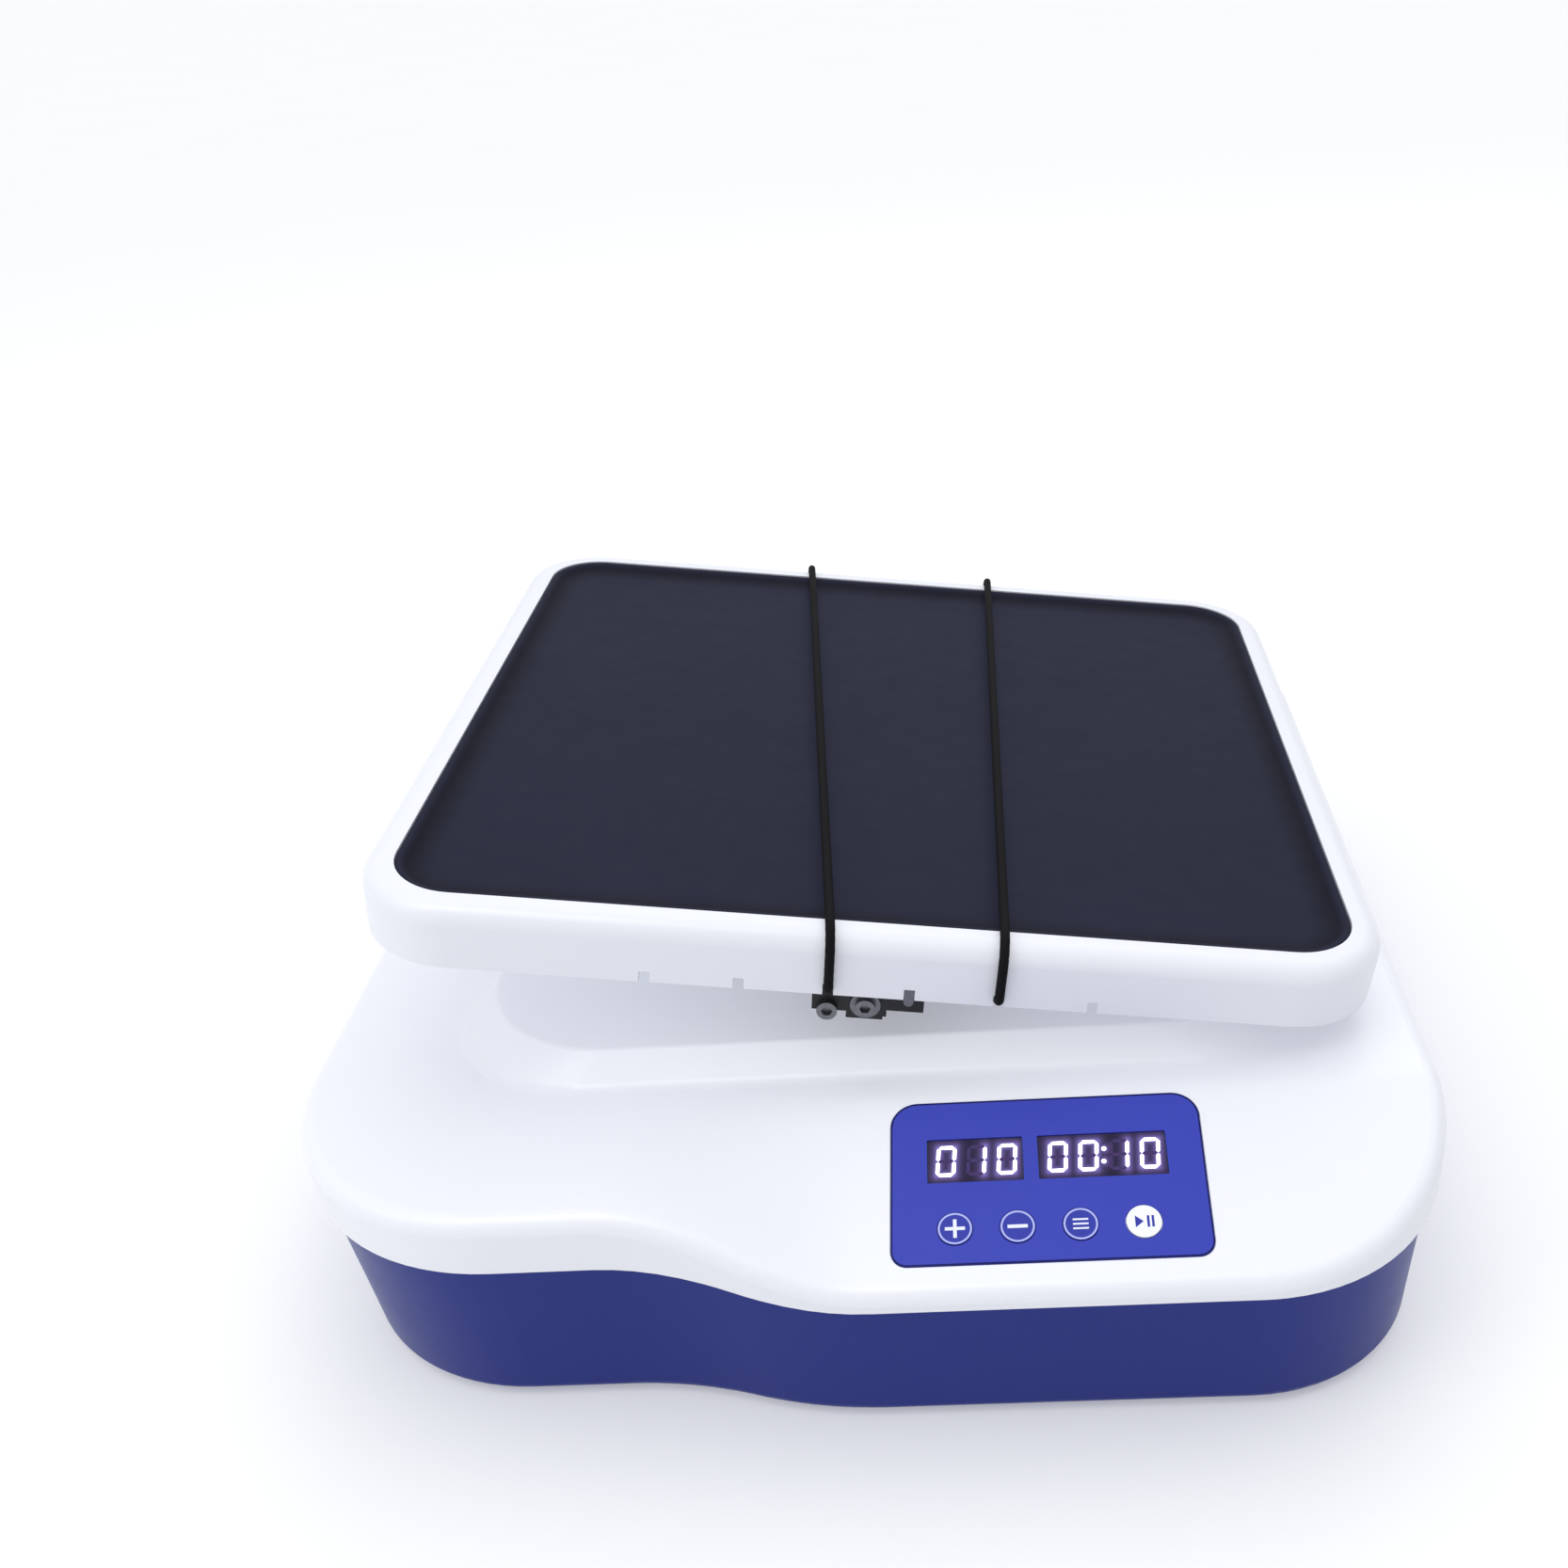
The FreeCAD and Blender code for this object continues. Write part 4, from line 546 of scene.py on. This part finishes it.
# painted shade: the mat's colour is darkened in the cove of the dished mat, standing in for the shade
# there, against its floor
COVE_START, COVE_FULL, COVE_FADE, COVE_END = 2.0, 4.5, 6.5, 15.5


def painted_cove_shade(inset):
    """How deep a spot of the mat is in the cove, and so how much painted shade it gets: 0 at its two ends,
    1 between.
    """
    rise = min(max((inset - COVE_START) / (COVE_FULL - COVE_START), 0), 1)
    return rise * min(max((COVE_END - inset) / (COVE_END - COVE_FADE), 0), 1)


# painted shade: each point of the mat holds how much of the painted cove shade it gets
cove = mat_sheet.data.attributes.new("cove", "FLOAT", "POINT")
cove.data.foreach_set("value", [painted_cove_shade(inset) for inset, _ in MAT_PROFILE for _ in range(loop_size)])
mat_tree = M["mat"].node_tree
painted_shade_reader = mat_tree.nodes.new("ShaderNodeAttribute")
painted_shade_reader.attribute_name = "cove"
mat_shader = mat_tree.nodes["Principled BSDF"]
plain = mat_shader.inputs["Base Color"].links[0].from_socket
# painted shade: the mat's colour is multiplied darker where the cove attribute is high
painted_shade_mix = mat_tree.nodes.new("ShaderNodeMix")
painted_shade_mix.data_type = "RGBA"
painted_shade_mix.blend_type = "MULTIPLY"
painted_shade_mix.inputs["B"].default_value = (0.42, 0.42, 0.46, 1)
mat_tree.links.new(painted_shade_reader.outputs["Fac"], painted_shade_mix.inputs["Factor"])
mat_tree.links.new(plain, painted_shade_mix.inputs["A"])
mat_tree.links.new(painted_shade_mix.outputs["Result"], mat_shader.inputs["Base Color"])


def smooth_path(points, steps=6):
    """A Catmull-Rom curve through points."""
    spots = [Vector(p) for p in points]
    spots = [spots[0] * 2 - spots[1]] + spots + [spots[-1] * 2 - spots[-2]]
    path = []
    for a, b, c, d in zip(spots, spots[1:], spots[2:], spots[3:]):
        for k in range(steps):
            t = k / steps
            path.append(0.5 * (2 * b + (c - a) * t + (2 * a - 5 * b + 4 * c - d) * t * t
                               + (3 * b - a - 3 * c + d) * t ** 3))
    return path + [spots[-2]]


def arc_points(centre, radius, start, end, steps):
    return [(centre[0] + radius * math.cos(math.radians(start + (end - start) * k / steps)),
             centre[1] + radius * math.sin(math.radians(start + (end - start) * k / steps)))
            for k in range(steps + 1)]


def woven_cord(name, node, step=0.7, sides=24, strands=6, lay=9.0):
    """An elastic cord in a woven cover, along the CAD cord's route over the tray's rim."""
    spots = [TRAY.inverted() @ v.co / MM for v in frame["nodes"][node].data.vertices]
    low, high = local_box(node, TRAY)
    radius, small, large = CORD_RADIUS, CORD_AT_FOOT, CORD_AT_RIM
    front = [p.x for p in spots if p.y < low.y + 1.5]
    back = [p.x for p in spots if p.y > high.y - 1.5]
    x_front, x_back = (min(front) + max(front)) / 2, (min(back) + max(back)) / 2
    reach, bottom, top = (high.y - low.y) / 2 - radius, low.z + radius, high.z - radius
    inner = CORD_INNER
    flat = [(-inner, bottom)]
    flat += arc_points((-reach + small, bottom + small), small, 270, 180, 8)
    flat += arc_points((-reach + large, top - large), large, 180, 90, 12)
    flat += arc_points((reach - large, top - large), large, 90, 0, 12)
    flat += arc_points((reach - small, bottom + small), small, 0, -90, 8)
    flat.append((inner, bottom))
    along = [0.0]
    for (ya, za), (yb, zb) in zip(flat, flat[1:]):
        along.append(along[-1] + math.hypot(yb - ya, zb - za))
    count = int(along[-1] / step)
    path, k = [], 0
    for n in range(count + 1):
        s = along[-1] * n / count
        while k < len(along) - 2 and along[k + 1] < s:
            k += 1
        t = (s - along[k]) / max(along[k + 1] - along[k], 1e-9)
        y = flat[k][0] + (flat[k + 1][0] - flat[k][0]) * t
        z = flat[k][1] + (flat[k + 1][1] - flat[k][1]) * t
        x = x_front + (x_back - x_front) * (y / reach + 1) / 2
        path.append(Vector((x, y, z)))
    verts, faces = [], []
    across = Vector((1, 0, 0))
    for n, point in enumerate(path):
        ahead = (path[min(n + 1, count)] - path[max(n - 1, 0)]).normalized()
        side = (across - ahead * across.dot(ahead)).normalized()
        up = ahead.cross(side)
        for m in range(sides):
            a = 2 * math.pi * m / sides
            turn = 2 * math.pi * along[-1] * n / count / lay
            weave = max(math.cos(strands * a + turn * 2), math.cos(strands * a - turn * 2))
            r = radius * (0.975 + 0.025 * weave)
            verts.append((point + (side * math.cos(a) + up * math.sin(a)) * r) * MM)
    for n in range(count):
        for m in range(sides):
            a, b = n * sides + m, n * sides + (m + 1) % sides
            faces.append((a, b, b + sides, a + sides))
    faces.append(list(reversed(range(sides))))
    faces.append([len(verts) - sides + m for m in range(sides)])
    made = piece(name, verts, faces, "cord", "platform", smooth=True, matrix=TRAY)
    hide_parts(node)
    return made


for name, node in (("left_cord", "strap_left"), ("right_cord", "strap_right")):
    woven_cord(name, node)

# ---- small parts ------------------------------------------------------------------------------

# a bent wire whose ends go into the bracket's face: right of the bracket's left edge, in front of
# its face and below its top, in mm
HOOK_WIRE = 0.7
HOOK = [(3.6, -1.2, 8.4), (4.3, 0.3, 9.6), (5.2, 0.72, 10.6), (7.2, 0.72, 12.0), (9.4, 0.72, 13.4),
        (10.2, 0.3, 13.9), (10.8, -1.2, 14.3)]
low, high = local_box("front_bracket", TRAY)
hook = [(low.x + right, low.y - ahead, high.z - below) for right, ahead, below in HOOK]
tube("cord_hook", smooth_path(hook), HOOK_WIRE, "steel", "platform", TRAY, sides=14)
